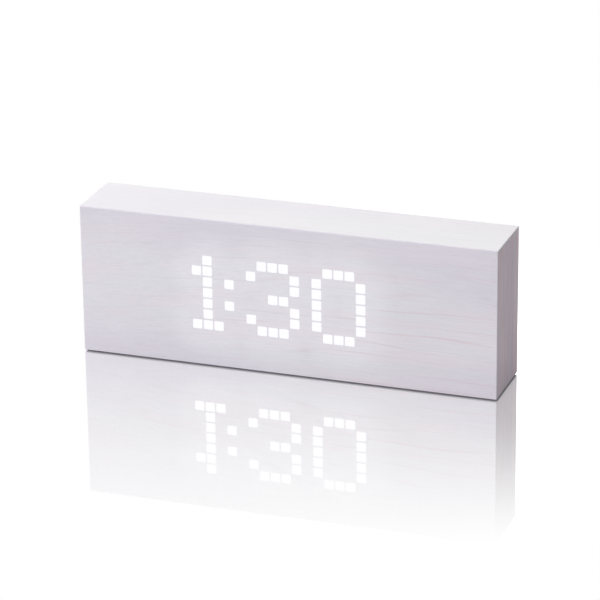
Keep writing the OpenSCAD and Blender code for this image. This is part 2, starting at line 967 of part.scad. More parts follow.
module dc_jack_nut() {
    color("#c9ccd0")
        facing_back(jack_x, y_floor_in - nut_t, z_mid)
            difference() {
                cylinder(h = nut_t, r = nut_af / 2 / cos(30), $fn = 6);
                translate([0, 0, -eps])
                    cylinder(h = nut_t + 2 * eps, r = jack_barrel_d / 2 + pilot_gap);
            }
}

module dc_jack_terminal() {
    color("#c9ccd0")
        slab([jack_x - terminal_w / 2, jack_x + terminal_w / 2], [y_jack_end - terminal_l, y_jack_end],
            [z_mid + terminal_z[0], z_mid + terminal_z[1]]);
}

function bezier(p, t) =
    pow(1 - t, 3) * p[0] + 3 * pow(1 - t, 2) * t * p[1] + 3 * (1 - t) * t * t * p[2] + pow(t, 3) * p[3];
function bezier_way(p, t) =
    3 * pow(1 - t, 2) * (p[1] - p[0]) + 6 * (1 - t) * t * (p[2] - p[1]) + 3 * t * t * (p[3] - p[2]);

// A round lead swept along a Bezier curve that never runs upright
module lead(p, r) {
    points = [
        for (i = [0 : wire_steps])
            let (
                way = bezier_way(p, i / wire_steps),
                forward = way / norm(way),
                flat = cross([0, 0, 1], forward),
                side = flat / norm(flat),
                up = cross(forward, side)
            )
            for (k = [0 : wire_sides - 1])
                bezier(p, i / wire_steps)
                    + r * cos(360 * k / wire_sides) * side
                    + r * sin(360 * k / wire_sides) * up
    ];
    walls = [
        for (i = [0 : wire_steps - 1], k = [0 : wire_sides - 1])
            let (a = i * wire_sides + k, b = i * wire_sides + (k + 1) % wire_sides)
            for (tri = [[a, a + wire_sides, b], [b, a + wire_sides, b + wire_sides]])
                tri
    ];
    ends = [
        [for (k = [0 : wire_sides - 1]) k],
        [for (k = [wire_sides - 1 : -1 : 0]) wire_steps * wire_sides + k]
    ];
    polyhedron(points, concat(walls, ends));
}

// One lead from the centre pin's tail and one from the sleeve's terminal, both to the main board
module power_wires() {
    pad_x = main_x1 - wire_pad_inset;
    tail_y = y_jack_end - pin_tail_l;
    tab_y = y_jack_end - terminal_l;
    tab_z = z_mid + (terminal_z[0] + terminal_z[1]) / 2;
    color("#b03030")
        for (way = [[tail_y, z_mid, z_mid + wire_pad_z], [tab_y, tab_z, tab_z - wire_pad_z / 2]])
            lead([
                [jack_x, way[0], way[1]],
                [jack_x, way[0] - wire_reach, way[1]],
                [pad_x, y_main_front - wire_reach * 1.5, way[2]],
                [pad_x, y_main_front, way[2]]
            ], wire_r);
}

// Memory cell

module coin_cell() {
    color("#d0d3d6")
        facing_back(cell_x, y_cell_bot, z_mid) {
            cylinder(h = cell_t, r = cell_d / 2 - cell_rim);
            translate([0, 0, cell_step])
                cylinder(h = cell_t - cell_step, r = cell_d / 2);
        }
}

// Bent strip from the cell to its pad on the main board
module contact_strip(x0, y_leaf, z) {
    zs = [z - contact_w / 2, z + contact_w / 2];
    slab([x0, riser_x + contact_t], [y_leaf, y_leaf + contact_t], zs);
    slab([riser_x, riser_x + contact_t], [y_main_back, y_leaf + contact_t], zs);
    slab([riser_x, main_x0 + contact_foot], [y_main_back, y_main_back + contact_t], zs);
}

module cell_base_contact() {
    color("#c9ccd0") {
        contact_strip(cell_x - contact_w, y_cup, z_mid);
        slab([cell_x - contact_w, cell_x], [y_cup, y_cell_bot],
            [z_mid - contact_w / 2, z_mid + contact_w / 2]);
    }
}

module cell_top_contact() {
    color("#c9ccd0")
        contact_strip(cell_x + cell_d / 2 - contact_reach, y_cell_top, top_contact_z);
}

module cell_door() {
    color("#f3f2f0")
        difference() {
            union() {
                slab([hinge_x, cell_x + door_w / 2], [y_door_in, y_floor],
                    [z_mid - door_w / 2, z_mid + door_w / 2]);
                translate([hinge_x, hinge_y, z_mid - door_w / 2])
                    cylinder(h = door_w, r = barrel_r);
                translate([hinge_x, hinge_y, z_mid - door_w / 2 - hinge_pin_l])
                    cylinder(h = door_w + 2 * hinge_pin_l, r = hinge_pin_r);
            }
            translate([cell_x + door_w / 2, y_floor - notch_depth + notch_r, z_mid])
                sphere(notch_r);
        }
}

// Push buttons and tact switches

module tact_switches() {
    color("#2b2b2d")
        for (i = [0 : 4])
            facing_back(column_x(i), y_main_back, button_z)
                difference() {
                    on_seat(tact_w, tact_w, tact_body_h);
                    translate([0, 0, tact_body_h - plunger_sunk - button_travel - fit_gap])
                        cylinder(h = tact_body_h, r = plunger_d / 2 + plunger_gap);
                }
}

module plunger(i) {
    color("#8f9296")
        facing_back(column_x(i), y_main_back + tact_body_h - plunger_sunk, button_z)
            cylinder(h = tact_h - tact_body_h + plunger_sunk, r = plunger_d / 2);
}

module push_button(i) {
    r = button_d / 2;
    top = y_floor + button_proud - y_cap;
    dish_r = (pow(r - cap_chamfer, 2) + pow(dish_depth, 2)) / (2 * dish_depth);
    color("#e4e4e6")
        facing_back(column_x(i), y_cap, button_z)
            difference() {
                union() {
                    cylinder(h = cap_flange_t, r = r + cap_lip);
                    cylinder(h = top - cap_chamfer, r = r);
                    translate([0, 0, top - cap_chamfer])
                        cylinder(h = cap_chamfer, r1 = r, r2 = r - cap_chamfer);
                }
                translate([0, 0, top - dish_depth + dish_r])
                    sphere(dish_r);
            }
}

// Slide switches

module slide_switch_cases() {
    slider_slot_l = knob_w + switch_travel + 2 * slider_gap;
    color("#b9bcc0")
        for (x = [alarm_switch_x, sound_switch_x])
            facing_back(x, y_main_back, switch_z)
                difference() {
                    on_seat(case_l, case_w, case_h);
                    translate([0, 0, case_wall])
                        on_seat(case_l - 2 * case_side, case_w - 2 * case_side, case_h - 2 * case_wall);
                    translate([0, 0, case_h / 2])
                        on_seat(slider_slot_l, knob_t + 2 * slider_gap, case_h);
                }
}

// The slider stands at the OFF end of its travel
module switch_knob(x) {
    slider_z = case_wall + slider_gap;
    slider_t = case_h - 2 * slider_z;
    color("#2b2b2d")
        facing_back(x - switch_travel / 2, y_main_back + slider_z, switch_z) {
            on_seat(slider_l, slider_w, slider_t);
            on_seat(knob_w, knob_t, y_floor + knob_proud - y_main_back - slider_z);
        }
}

front_veneer();
back_veneer();
top_veneer();
bottom_veneer();
end_veneer(-1);  // left_end_veneer
end_veneer(1);  // right_end_veneer
front_board();
back_board();
top_board();
bottom_board();
end_board(-1);  // left_end_board
end_board(1);  // right_end_board
feet();
diffuser_film();
light_grid();
pixel_lenses();
led_board();
leds();
display_screws();
driver_chips();
ribbon_sockets();
display_ribbon();
control_tray();
tray_screws();
main_board();
main_board_screws();
microcontroller();
clock_chip();
watch_crystal();
voltage_regulator();
capacitors();
chip_resistors();
buzzer();
microphone();
microphone_boot();
thermistor();
dc_jack_body();
dc_jack_pin();
dc_jack_nut();
dc_jack_terminal();
power_wires();
coin_cell();
cell_base_contact();
cell_top_contact();
cell_door();
tact_switches();
push_button(0);  // mode_button
push_button(1);  // set_button
push_button(2);  // up_button
push_button(3);  // down_button
push_button(4);  // alarm_button
plunger(0);  // mode_plunger
plunger(1);  // set_plunger
plunger(2);  // up_plunger
plunger(3);  // down_plunger
plunger(4);  // alarm_plunger
slide_switch_cases();
switch_knob(alarm_switch_x);  // alarm_switch_knob
switch_knob(sound_switch_x);  // sound_switch_knob
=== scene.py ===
import json
import math

import bmesh
import bpy
from mathutils import Matrix, Vector

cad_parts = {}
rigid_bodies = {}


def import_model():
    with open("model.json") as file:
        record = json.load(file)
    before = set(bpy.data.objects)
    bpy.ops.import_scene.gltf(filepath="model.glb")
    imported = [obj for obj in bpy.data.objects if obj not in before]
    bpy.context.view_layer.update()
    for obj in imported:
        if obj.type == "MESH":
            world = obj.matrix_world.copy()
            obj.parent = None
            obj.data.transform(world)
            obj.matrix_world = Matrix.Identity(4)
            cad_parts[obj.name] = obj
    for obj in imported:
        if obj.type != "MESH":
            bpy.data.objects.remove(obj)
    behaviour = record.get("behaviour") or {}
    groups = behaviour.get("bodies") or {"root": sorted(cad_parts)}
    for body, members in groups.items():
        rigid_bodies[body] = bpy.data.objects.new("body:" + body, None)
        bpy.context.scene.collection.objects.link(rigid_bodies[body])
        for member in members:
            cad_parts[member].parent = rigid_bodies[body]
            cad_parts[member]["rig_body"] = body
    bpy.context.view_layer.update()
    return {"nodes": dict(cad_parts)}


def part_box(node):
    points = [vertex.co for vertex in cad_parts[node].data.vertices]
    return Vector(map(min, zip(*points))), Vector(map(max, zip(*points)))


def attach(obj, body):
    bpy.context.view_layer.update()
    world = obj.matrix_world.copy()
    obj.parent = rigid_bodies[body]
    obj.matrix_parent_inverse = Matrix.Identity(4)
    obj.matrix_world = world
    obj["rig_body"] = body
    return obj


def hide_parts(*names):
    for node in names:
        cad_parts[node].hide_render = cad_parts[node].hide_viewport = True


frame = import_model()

# A digital alarm clock in a block of white-washed maple: its dot matrix shines through the front skin.
# X runs along the block, Y from the display to the control tray and Z up. MM turns millimetres to metres.
MM = 0.001

# Outer faces of the block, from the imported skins
BLOCK_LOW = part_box("front_veneer")[0]
BLOCK_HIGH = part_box("back_veneer")[1]
BLOCK_MID_Z = (BLOCK_LOW.z + BLOCK_HIGH.z) / 2
EDGE_RADIUS = 0.42 * MM
SEAM_RADIUS = 0.05 * MM
MERGE_DISTANCE = 0.001 * MM

# Turns from face to face, in radians: one flat face below the first, and a sharp edge above the second
FLAT_TURN = 0.01
SHARP_TURN = math.radians(35)

# The dot matrix, from the resin that fills its cells
MATRIX_COLUMNS = 25
MATRIX_ROWS = 7
LENS_LOW, LENS_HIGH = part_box("pixel_lenses")
PIXEL_PITCH = ((LENS_HIGH.x - LENS_LOW.x) - (LENS_HIGH.z - LENS_LOW.z)) / (MATRIX_COLUMNS - MATRIX_ROWS)
PIXEL_SIDE = (LENS_HIGH.z - LENS_LOW.z) - (MATRIX_ROWS - 1) * PIXEL_PITCH
PIXEL_CORNER = 0.55 * MM
CORNER_STEPS = 4
PIXEL_PROUD = 0.03 * MM
PIXEL_SUNK = 0.02 * MM

# The time on the display, as five by seven digits that start at this column
FIRST_COLUMN = 4
TIME_SHOWN = (
    " #    ###   ### ",
    "##   #   # #   #",
    " # #     # #   #",
    " #     ##  #   #",
    " # #     # #   #",
    " #   #   # #   #",
    "###   ###   ### ",
)

# The growth lines of the wood, in millimetres: how far apart they run, how strongly they bow, how many
# pitches they drift, and over what length they change from grey to pink
LINE_PITCH = 6.4
LINE_BOW = 0.0004
LINE_DRIFT = 3
PINK_REACH = 250

# The light of the lit pixels in the skin: even as far as GLOW_EVEN and gone at GLOW_REACH. Squares of
# GLOW_STEP in the skin's mesh carry it.
GLOW_EVEN = 5 * MM
GLOW_REACH = 19 * MM
GLOW_STEP = 1.4 * MM
GLOW_STRENGTH = 0.05

# The plus sign stamped into the memory cell, and how far it is from the cell's middle
PLUS_SIDE = 3.6 * MM
PLUS_BAR = 0.8 * MM
PLUS_DEPTH = 0.14 * MM
PLUS_SHIFT = -3.5 * MM

# The slide switches' knobs and how far they travel
SWITCH_KNOBS = ("alarm_switch_knob", "sound_switch_knob")
SWITCH_TRAVEL = 2 * MM

# The camera, fitted to the block's corners and lit pixels in the photograph
AIM = Vector((7.32, -18.0, 39.93)) * MM
CAMERA_DISTANCE = 1.6144
CAMERA_AZIMUTH = math.radians(19.395)
CAMERA_ELEVATION = math.radians(21.412)
CAMERA_ROLL = math.radians(-0.718)
SENSOR_WIDTH = 36
LENS_LENGTH = 203.28

# The floor: how strongly it mirrors the block's foot, and how far that reaches
FLOOR_SIDE = 12
FLOOR_DROP = 0.02 * MM
MIRROR_SHARE = 0.72
MIRROR_REACH = 222 * MM
MIRROR_LEAN = 0.37
SHADOW_REACH = 0.7 * MM
RING_COLOUR = (0.8, 0.75, 0.88)
DIM_GREY = (0.6, 0.6, 0.6)

# The white of floor and world, and how strongly the world lights the object
WHITE = (1.0, 1.0, 1.0)
SOFT_LIGHT = 0.25


def add_node(tree, kind, settings, inputs):
    """Adds a node: its settings first, then the values or links of its sockets."""
    node = tree.nodes.new(kind)
    for name, value in settings.items():
        setattr(node, name, value)
    for key, value in inputs.items():
        socket = pick(node.inputs, key)
        if isinstance(value, Value):
            value = value.link
        if isinstance(value, bpy.types.NodeSocket):
            tree.links.new(value, socket)
        else:
            socket.default_value = value
    return node


def pick(sockets, key):
    """A socket by its place, or by its identifier, or else by its name."""
    if isinstance(key, int):
        return sockets[key]
    for socket in sockets:
        if socket.identifier == key:
            return socket
    return sockets[key]


def math_node(operation, swapped=False):
    """A method of Value that adds a Math node. The reflected ones swap their operands."""

    def method(self, *others):
        operands = (*others, self) if swapped else (self, *others)
        return self.finish.math(operation, *operands)

    return method


class Value:
    """A socket's value in a material. Arithmetic on it adds Math nodes."""

    def __init__(self, finish, link):
        self.finish = finish
        self.link = link

    __add__ = __radd__ = math_node("ADD")
    __mul__ = __rmul__ = math_node("MULTIPLY")
    __sub__ = math_node("SUBTRACT")
    __rsub__ = math_node("SUBTRACT", swapped=True)
    __truediv__ = math_node("DIVIDE")
    __rtruediv__ = math_node("DIVIDE", swapped=True)
    __lt__ = math_node("LESS_THAN")
    __gt__ = math_node("GREATER_THAN")
    __abs__ = math_node("ABSOLUTE")

    # What is left past the whole number
    part = math_node("FRACT")

    def step(self, low, high):
        """0 below low, 1 above high and a smooth rise between them."""
        return self.finish.node(
            "ShaderNodeMapRange",
            {"interpolation_type": "SMOOTHSTEP"},
            {"Value": self, "From Min": low, "From Max": high},
        )


class Finish:
    """A material round one Principled shader, with its patterns in millimetres."""

    def __init__(self, name, **fixed):
        self.material = bpy.data.materials.new(name)
        self.material.use_nodes = True
        self.tree = self.material.node_tree
        self.shader = self.tree.nodes["Principled BSDF"]
        coordinates = self.node("ShaderNodeTexCoord", {}, {}, "Object")
        self.place = self.node(
            "ShaderNodeVectorMath", {"operation": "SCALE"}, {0: coordinates, "Scale": 1 / MM}
        )
        for name, value in fixed.items():
            self.put(name.replace("_", " ").title().replace("Ior", "IOR"), value)

    def node(self, kind, settings, inputs, output=0):
        node = add_node(self.tree, kind, settings, inputs)
        return Value(self, pick(node.outputs, output))

    def math(self, operation, *values):
        return self.node("ShaderNodeMath", {"operation": operation}, dict(enumerate(values)))

    def put(self, name, value):
        """Sets or links one of the shader's own sockets."""
        if isinstance(value, Value):
            self.tree.links.new(value.link, self.shader.inputs[name])
        else:
            self.shader.inputs[name].default_value = value

    def axes(self, vector=None):
        """A vector as three numbers: the place on the piece in millimetres, or another one."""
        split = add_node(self.tree, "ShaderNodeSeparateXYZ", {}, {0: vector or self.place})
        return [Value(self, socket) for socket in split.outputs]

    def noise(self, size, detail=2, roughness=0.5, shift=0, place=None):
        """Cloudy noise from 0 to 1. Its grains have the given size along each axis."""
        stretched = self.node(
            "ShaderNodeMapping",
            {},
            {
                "Vector": place or self.place,
                "Location": (shift, shift, shift),
                "Scale": tuple(1 / s for s in size),
            },
        )
        return self.node(
            "ShaderNodeTexNoise",
            {},
            {"Vector": stretched, "Scale": 1.0, "Detail": detail, "Roughness": roughness},
        )

    def mix(self, factor, first, second, blend="MIX"):
        """A colour between two others, or the first blended with the second in another way."""
        return self.node(
            "ShaderNodeMix",
            {"data_type": "RGBA", "blend_type": blend},
            {"Factor_Float": factor, "A_Color": first, "B_Color": second},
            "Result_Color",
        )

    def shade(self, colour, amount):
        """A colour made lighter or darker by an amount near 1."""
        grey = self.node("ShaderNodeCombineColor", {}, {0: amount, 1: amount, 2: amount})
        return self.mix(1.0, colour, grey, "MULTIPLY")

    def bump(self, height, depth, strength=1.0):
        """Raises the surface by up to a depth in millimetres."""
        normal = self.node(
            "ShaderNodeBump", {}, {"Height": height, "Distance": depth * MM, "Strength": strength}
        )
        self.put("Normal", normal)


def rgb(code):
    """A colour written as six hex digits, in the numbers that a shader takes."""
    parts = [int(code[i : i + 2], 16) / 255 for i in (1, 3, 5)]
    linear = [p / 12.92 if p <= 0.04045 else ((p + 0.055) / 1.055) ** 2.4 for p in parts]
    return (*linear, 1)


def along_grain(grain, length, width):
    """The size of a noise grain: long along the wood's grain and narrow across it."""
    return tuple(length if axis == grain else width for axis in "XYZ")


def washed_maple(name, grain, crown, tones, streak_width, contrast, shift=0, glow=False):
    """White-washed maple veneer: soft bands of two tones, fine streaks and thin growth lines.

    The lines bow over the crown, a place along the grain. Lengths are in millimetres.
    """
    pale, blush, lilac_and_shade, grey_line, pink_line = (rgb(tone) for tone in tones)
    wood = Finish(name, roughness=0.6, specular_ior_level=0.06)

    def grained(length, width, detail, roughness, offset, place=None):
        return wood.noise(along_grain(grain, length, width), detail, roughness, offset, place)

    axes = dict(zip("XYZ", wood.axes()))
    along = axes.pop(grain)
    bow = (along - crown) * (along - crown) * LINE_BOW
    sway = grained(90, 26, 1, 0.4, 3)
    parts = {axis: value + bow + sway * 6 for axis, value in axes.items()}
    parts[grain] = along
    grown = wood.node("ShaderNodeCombineXYZ", {}, {"XYZ".index(a): v for a, v in parts.items()})
    across = sum(axes.values()) + bow
    band = grained(110, 9, 3, 0.6, 131 + shift, grown)
    cloud_and_shade = grained(150, 42, 1, 0.4, 7 + shift, grown)
    streak = grained(26, streak_width, 4, 0.62, 5, grown)
    fibre = grained(8, 0.2, 3, 0.6, 13, grown)
    pores = grained(3.6, 0.17, 1, 0.5, 77, grown).step(0.62, 0.72)
    worn = wood.noise((34, 34, 34), 2, 0.5, 60)
    drift = grained(190, 17, 2, 0.45, 18)
    ring = abs((across / LINE_PITCH + drift * LINE_DRIFT).part() - 0.5) * 2
    broken = grained(80, 5, 3, 0.6, 50 + shift, grown).step(0.36, 0.68)
    pinker = (grained(140, 60, 1, 0.4, 390 + shift) + along / PINK_REACH).step(0.25, 0.8)
    lines = ring.step(0.82, 1.0) * broken * (0.3 + pinker * 0.7) * (0.5 + streak)
    body = wood.mix(band.step(0.36, 0.64), pale, blush)
    # Darker lilac clouds: partly the wood's own tone, partly painted shade
    body = wood.mix(cloud_and_shade.step(0.42, 0.7), body, lilac_and_shade)
    body = wood.mix(lines, body, wood.mix(pinker, grey_line, pink_line))
    grit = streak * 0.6 + fibre * 0.4
    even = 0.98 - contrast / 2
    body = wood.shade(body, even + grit * contrast + worn * 0.05 - pores * 0.07)
    wood.put("Base Color", body)
    wood.put("Roughness", 0.55 + streak * 0.14)
    wood.bump(grit - pores * 0.5, 0.03, 0.5)
    if glow:
        light = wood.node("ShaderNodeAttribute", {"attribute_name": "glow"}, {}, "Fac")
        wood.put("Emission Color", wood.shade(rgb("#effff4"), light))
        wood.put("Emission Strength", GLOW_STRENGTH)
    return wood.material


def lit_skin():
    """A pixel's light on the skin, with a trace of the wood's streaks in it."""
    light = Finish("lit_skin", roughness=0.6, specular_ior_level=0.1, emission_strength=1.0)
    streak = light.noise(along_grain("X", 18, 0.8), 2)
    light.put("Base Color", rgb("#303034"))
    light.put("Emission Color", light.shade(rgb("#fafafe"), 0.97 + streak * 0.06))
    return light.material


def moulded(name, colour, roughness=0.5, grain=0.35, mottle=0.05, relief=0.01, coat=0.0):
    """Moulded plastic or rubber with a spark-eroded grain."""
    plastic = Finish(name, roughness=roughness, coat_weight=coat, coat_roughness=0.25)
    fine = plastic.noise((grain,) * 3, 2)
    wide = plastic.noise((11.0,) * 3, 2, 0.6, 21)
    plastic.put("Base Color", plastic.shade(rgb(colour), 1 - mottle + (wide + fine) * mottle))
    plastic.put("Roughness", roughness - 0.05 + fine * 0.1)
    plastic.bump(fine, relief)
    return plastic.material


def plated(name, colour, roughness=0.28, brush=(0.15, 0.15, 4.0)):
    """Plated metal with fine brush marks."""
    metal = Finish(name, metallic=1.0, roughness=roughness)
    marks = metal.noise(brush, 2)
    tarnish = metal.noise((3.0,) * 3, 3, 0.6, 9)
    metal.put("Base Color", metal.shade(rgb(colour), 0.84 + marks * 0.12 + tarnish * 0.16))
    metal.put("Roughness", roughness - 0.08 + tarnish * 0.16)
    metal.bump(marks, 0.003)
    return metal.material


def stamped_can():
    """Brushed steel of the memory cell: rougher in the plus sign that is stamped into it, and darkened
    there by painted shade.
    """
    low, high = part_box("coin_cell")
    can = Finish("cell_steel", metallic=1.0)
    x, y, z = can.axes()
    marks = can.noise((6.0, 0.2, 0.12), 2)
    tarnish = can.noise((3.0,) * 3, 3, 0.6, 9)
    reach = 0.6 * PLUS_SIDE / MM
    beside = abs(x - ((low.x + high.x) / 2 + PLUS_SHIFT) / MM) < reach
    level = abs(z - (low.z + high.z) / 2 / MM) < reach
    sunk = (y > (low.y + high.y) / 2 / MM) * (y < (high.y - 0.75 * PLUS_DEPTH) / MM)
    painted_plus_shade = beside * level * sunk
    # Painted shade: the floor of the plus recess is coloured darker so that the recess reads
    colour = can.mix(painted_plus_shade, rgb("#a9abad"), rgb("#55585c"))
    can.put("Base Color", can.shade(colour, 0.84 + marks * 0.12 + tarnish * 0.16))
    can.put("Roughness", 0.16 + tarnish * 0.16 + painted_plus_shade * 0.3)
    can.bump(marks, 0.003)
    return can.material


def fibreboard():
    """Raw fibreboard: matted brown fibres with lighter and darker flecks."""
    board = Finish("fibreboard", roughness=0.85)
    fleck = board.noise((1.1, 0.5, 1.1), 4, 0.7)
    wool = board.noise((0.25,) * 3, 3, 0.7, 40)
    colour = board.mix(fleck.step(0.35, 0.68), rgb("#9c7a4f"), rgb("#c8a577"))
    board.put("Base Color", board.shade(colour, 0.86 + wool * 0.28))
    board.bump(fleck * 0.5 + wool * 0.5, 0.06)
    return board.material


def circuit_board(name, mask, track, legend):
    """Lacquered circuit board: tracks under the mask run along or up, and change at each square."""
    board = Finish(name, roughness=0.35, coat_weight=0.35, coat_roughness=0.2)
    x, _, z = board.axes()
    side = 6.4
    pitch = 0.8
    square = board.node(
        "ShaderNodeVectorMath", {"operation": "SNAP"}, {0: board.place, 1: (side, 100.0, side)}
    )
    choice = board.node("ShaderNodeTexWhiteNoise", {"noise_dimensions": "3D"}, {"Vector": square})
    upright = abs((x / pitch).part() - 0.5) < 0.2
    level = abs((z / pitch).part() - 0.5) < 0.2
    routed = (choice > 0.25) * (upright * (choice > 0.6) + level * (choice < 0.6))
    vias = board.node("ShaderNodeTexVoronoi", {}, {"Vector": board.place, "Scale": 0.18}, "Distance")
    hole = vias < 0.075
    pour = board.noise((14.0,) * 3, 1, 0.5, 15).step(0.5, 0.53)
    colour = board.mix(routed, rgb(mask), rgb(track))
    colour = board.mix(pour * 0.35, colour, rgb(track))
    colour = board.mix(hole, colour, rgb(legend))
    board.put("Base Color", board.shade(colour, 0.95 + board.noise((2.0,) * 3, 2) * 0.1))
    board.bump(routed * 0.6 + pour * 0.4, 0.035)
    return board.material


def diode_housing():
    """White diode packages, each with a round pool of yellow phosphor under clear resin."""
    diode = Finish("diode", roughness=0.3, coat_weight=0.4, coat_roughness=0.1)
    x, _, z = diode.axes()
    pitch = PIXEL_PITCH / MM
    margin = (PIXEL_PITCH - PIXEL_SIDE) / 2
    beside = ((x - (LENS_LOW.x - margin) / MM) / pitch).part() - 0.5
    above = ((z - (LENS_LOW.z - margin) / MM) / pitch).part() - 0.5
    away = diode.math("SQRT", beside * beside + above * above) * pitch
    pool_radius = 1.0
    pool = 1 - away.step(pool_radius, pool_radius + 0.12)
    colour = diode.mix(pool, rgb("#f1efe6"), rgb("#f4d75c"))
    diode.put("Base Color", diode.shade(colour, 0.94 + diode.noise((0.3,) * 3, 2) * 0.1))
    diode.bump(away.step(pool_radius - 0.05, pool_radius + 0.2), 0.08)
    return diode.material


def chip_epoxy(name, node, leg_x, leg_z):
    """Black epoxy round a chip, with tinned legs as far in from its box as they stand out.

    leg_x is their reach at both ends, and leg_z their reach at the foot and at the top.
    """
    low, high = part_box(node)
    chip = Finish(name, roughness=0.5)
    x, _, z = chip.axes()
    legs = (z < low.z / MM + leg_z[0]) + (z > high.z / MM - leg_z[1])
    if leg_x:
        legs = legs + (x < low.x / MM + leg_x) + (x > high.x / MM - leg_x)
    legs = chip.math("MINIMUM", legs, 1.0)
    grit = chip.noise((0.12,) * 3, 2)
    colour = chip.mix(legs, rgb("#1f2023"), rgb("#c3c5c8"))
    chip.put("Base Color", chip.shade(colour, 0.9 + grit * 0.2))
    chip.put("Metallic", legs)
    chip.put("Roughness", 0.55 - legs * 0.25 + grit * 0.06)
    chip.bump(grit, 0.012)
    return chip.material


def flat_cable():
    """White flat cable: its conductors show as soft stripes along it."""
    cable = Finish("flat_cable", roughness=0.4)
    x, _, _ = cable.axes()
    pitch = 1.0
    stripe = abs((x / pitch).part() - 0.5).step(0.12, 0.3)
    colour = cable.mix(stripe, rgb("#c9ccce"), rgb("#f1f1ee"))
    cable.put("Base Color", cable.shade(colour, 0.96 + cable.noise((1.5,) * 3, 2) * 0.08))
    cable.bump(1 - stripe, 0.05)
    return cable.material


def capacitor_sleeve():
    """Blue shrunk sleeve with a pale stripe, and a bare aluminium end."""
    can = Finish("capacitor_sleeve", roughness=0.35, coat_weight=0.3)
    _, along, up = can.axes(can.node("ShaderNodeNewGeometry", {}, {}, "Normal"))
    end = along < -0.9
    stripe = up > 0.88
    grit = can.noise((0.4,) * 3, 2)
    colour = can.mix(stripe, rgb("#28356b"), rgb("#c8ccd6"))
    colour = can.mix(end, colour, rgb("#cfd1d4"))
    can.put("Base Color", can.shade(colour, 0.93 + grit * 0.14))
    can.put("Metallic", end)
    can.bump(grit, 0.01)
    return can.material


def wire_sleeve():
    """Satin sleeves: red on the upper lead, black on the one below the gap between them."""
    sleeve = Finish("wire_sleeve", roughness=0.42)
    _, _, z = sleeve.axes()
    gap = BLOCK_MID_Z / MM - 1.2
    scuff = sleeve.noise((1.2,) * 3, 3)
    colour = sleeve.mix(z < gap, rgb("#a3242a"), rgb("#202124"))
    sleeve.put("Base Color", sleeve.shade(colour, 0.9 + scuff * 0.2))
    sleeve.bump(scuff, 0.01)
    return sleeve.material


def ribbed_knob():
    """Black knob plastic, rubbed paler near its end, where a fingertip pushes it."""
    knob = Finish("knob_plastic", roughness=0.45)
    _, y, _ = knob.axes()
    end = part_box(SWITCH_KNOBS[0])[1].y / MM
    grit = knob.noise((0.2,) * 3, 2)
    rubbed = y.step(end - 0.7, end) * knob.noise((0.8,) * 3, 2, 0.5, 8)
    knob.put("Base Color", knob.mix(rubbed, rgb("#222327"), rgb("#4a4b50")))
    knob.put("Roughness", 0.5 - rubbed * 0.12)
    knob.bump(grit, 0.01)
    return knob.material


# The wood's tones: pale and blushed bands, darker lilac clouds that are partly the wood's tone and partly
# painted shade, grey growth lines and pink ones
FRONT_TONES = ("#dad9df", "#dcd6dd", "#d5d1db", "#cbc6cb", "#d6c8d0")
TOP_TONES = ("#dedee0", "#dfdddf", "#dcdade", "#d5d2d5", "#dcd1d7")
# The right end's tones carry a pink cast of painted shade, the tint of that shaded side; the left end
# keeps plainer tones
SHADED_END_TONES = ("#d9d0d6", "#e0ced6", "#d0c5d3", "#c0b5be", "#cfb7c4")
LEFT_END_TONES = ("#dad6dc", "#ddd2d9", "#d3cad5", "#c6bec5", "#d2c1cb")

# Each skin's wood: grain, crown, tones, width of streaks, contrast, shift of its bands, and if it glows
WOODS = {
    "front": ("X", 60, FRONT_TONES, 0.8, 0.26, 0, True),
    "back": ("X", -30, FRONT_TONES, 0.8, 0.26, 11),
    "top": ("X", 20, TOP_TONES, 0.8, 0.18, 23),
    "end": ("Z", 10, SHADED_END_TONES, 2.2, 0.62, 37),
    "left_end": ("Z", -10, LEFT_END_TONES, 2.2, 0.46, 53),
}

# Plastics, resins and rubbers: colour, roughness, size of grain, mottle, relief and coat
MOULDED = {
    "foot_pad": ("#a9a9a7", 0.8, 0.3, 0.12, 0.05),
    "diffuser": ("#f4f4ee", 0.35, 2.0, 0.02, 0.004),
    "grid_plastic": ("#eeeeea", 0.55, 0.4, 0.04),
    "milky_resin": ("#f3f3ea", 0.3, 1.2, 0.03, 0.004, 0.4),
    "socket_ivory": ("#d9cba6", 0.45, 0.3),
    "tray_plastic": ("#dedcdb", 0.52, 0.3, 0.03, 0.012),
    "black_plastic": ("#222326", 0.42, 0.25, 0.08, 0.012),
    "chip_black": ("#2b2a2c", 0.5, 0.15, 0.08, 0.012),
    "black_rubber": ("#1d1d1e", 0.75, 0.5, 0.12, 0.02),
    "sensor_resin": ("#3a2f1c", 0.2, 0.8, 0.1, 0.02, 0.5),
    "button_plastic": ("#c3c5c9", 0.38, 0.3, 0.03, 0.008, 0.1),
    "plunger_plastic": ("#8b8e92", 0.4, 0.3),
    "print_ink": ("#6d6f76", 0.6, 0.25, 0.06, 0.003),
}

FINISHES = {
    **{side + "_wood": washed_maple("washed_maple_" + side, *look) for side, look in WOODS.items()},
    **{name: moulded(name, *look) for name, look in MOULDED.items()},
    "lit": lit_skin(),
    "fibreboard": fibreboard(),
    "white_circuit_board": circuit_board("white_circuit_board", "#dfe2dc", "#cdd2ca", "#b98d4a"),
    "green_circuit_board": circuit_board("green_circuit_board", "#1d5436", "#2c7049", "#c8a24f"),
    "diode": diode_housing(),
    "screw_steel": plated("screw_steel", "#b4b7bb", 0.3, (0.1, 2.0, 0.1)),
    "flat_cable": flat_cable(),
    "nickel": plated("nickel", "#c9c7c0", 0.25),
    "capacitor_sleeve": capacitor_sleeve(),
    "wire_sleeve": wire_sleeve(),
    "cell_steel": stamped_can(),
    "knob": ribbed_knob(),
}

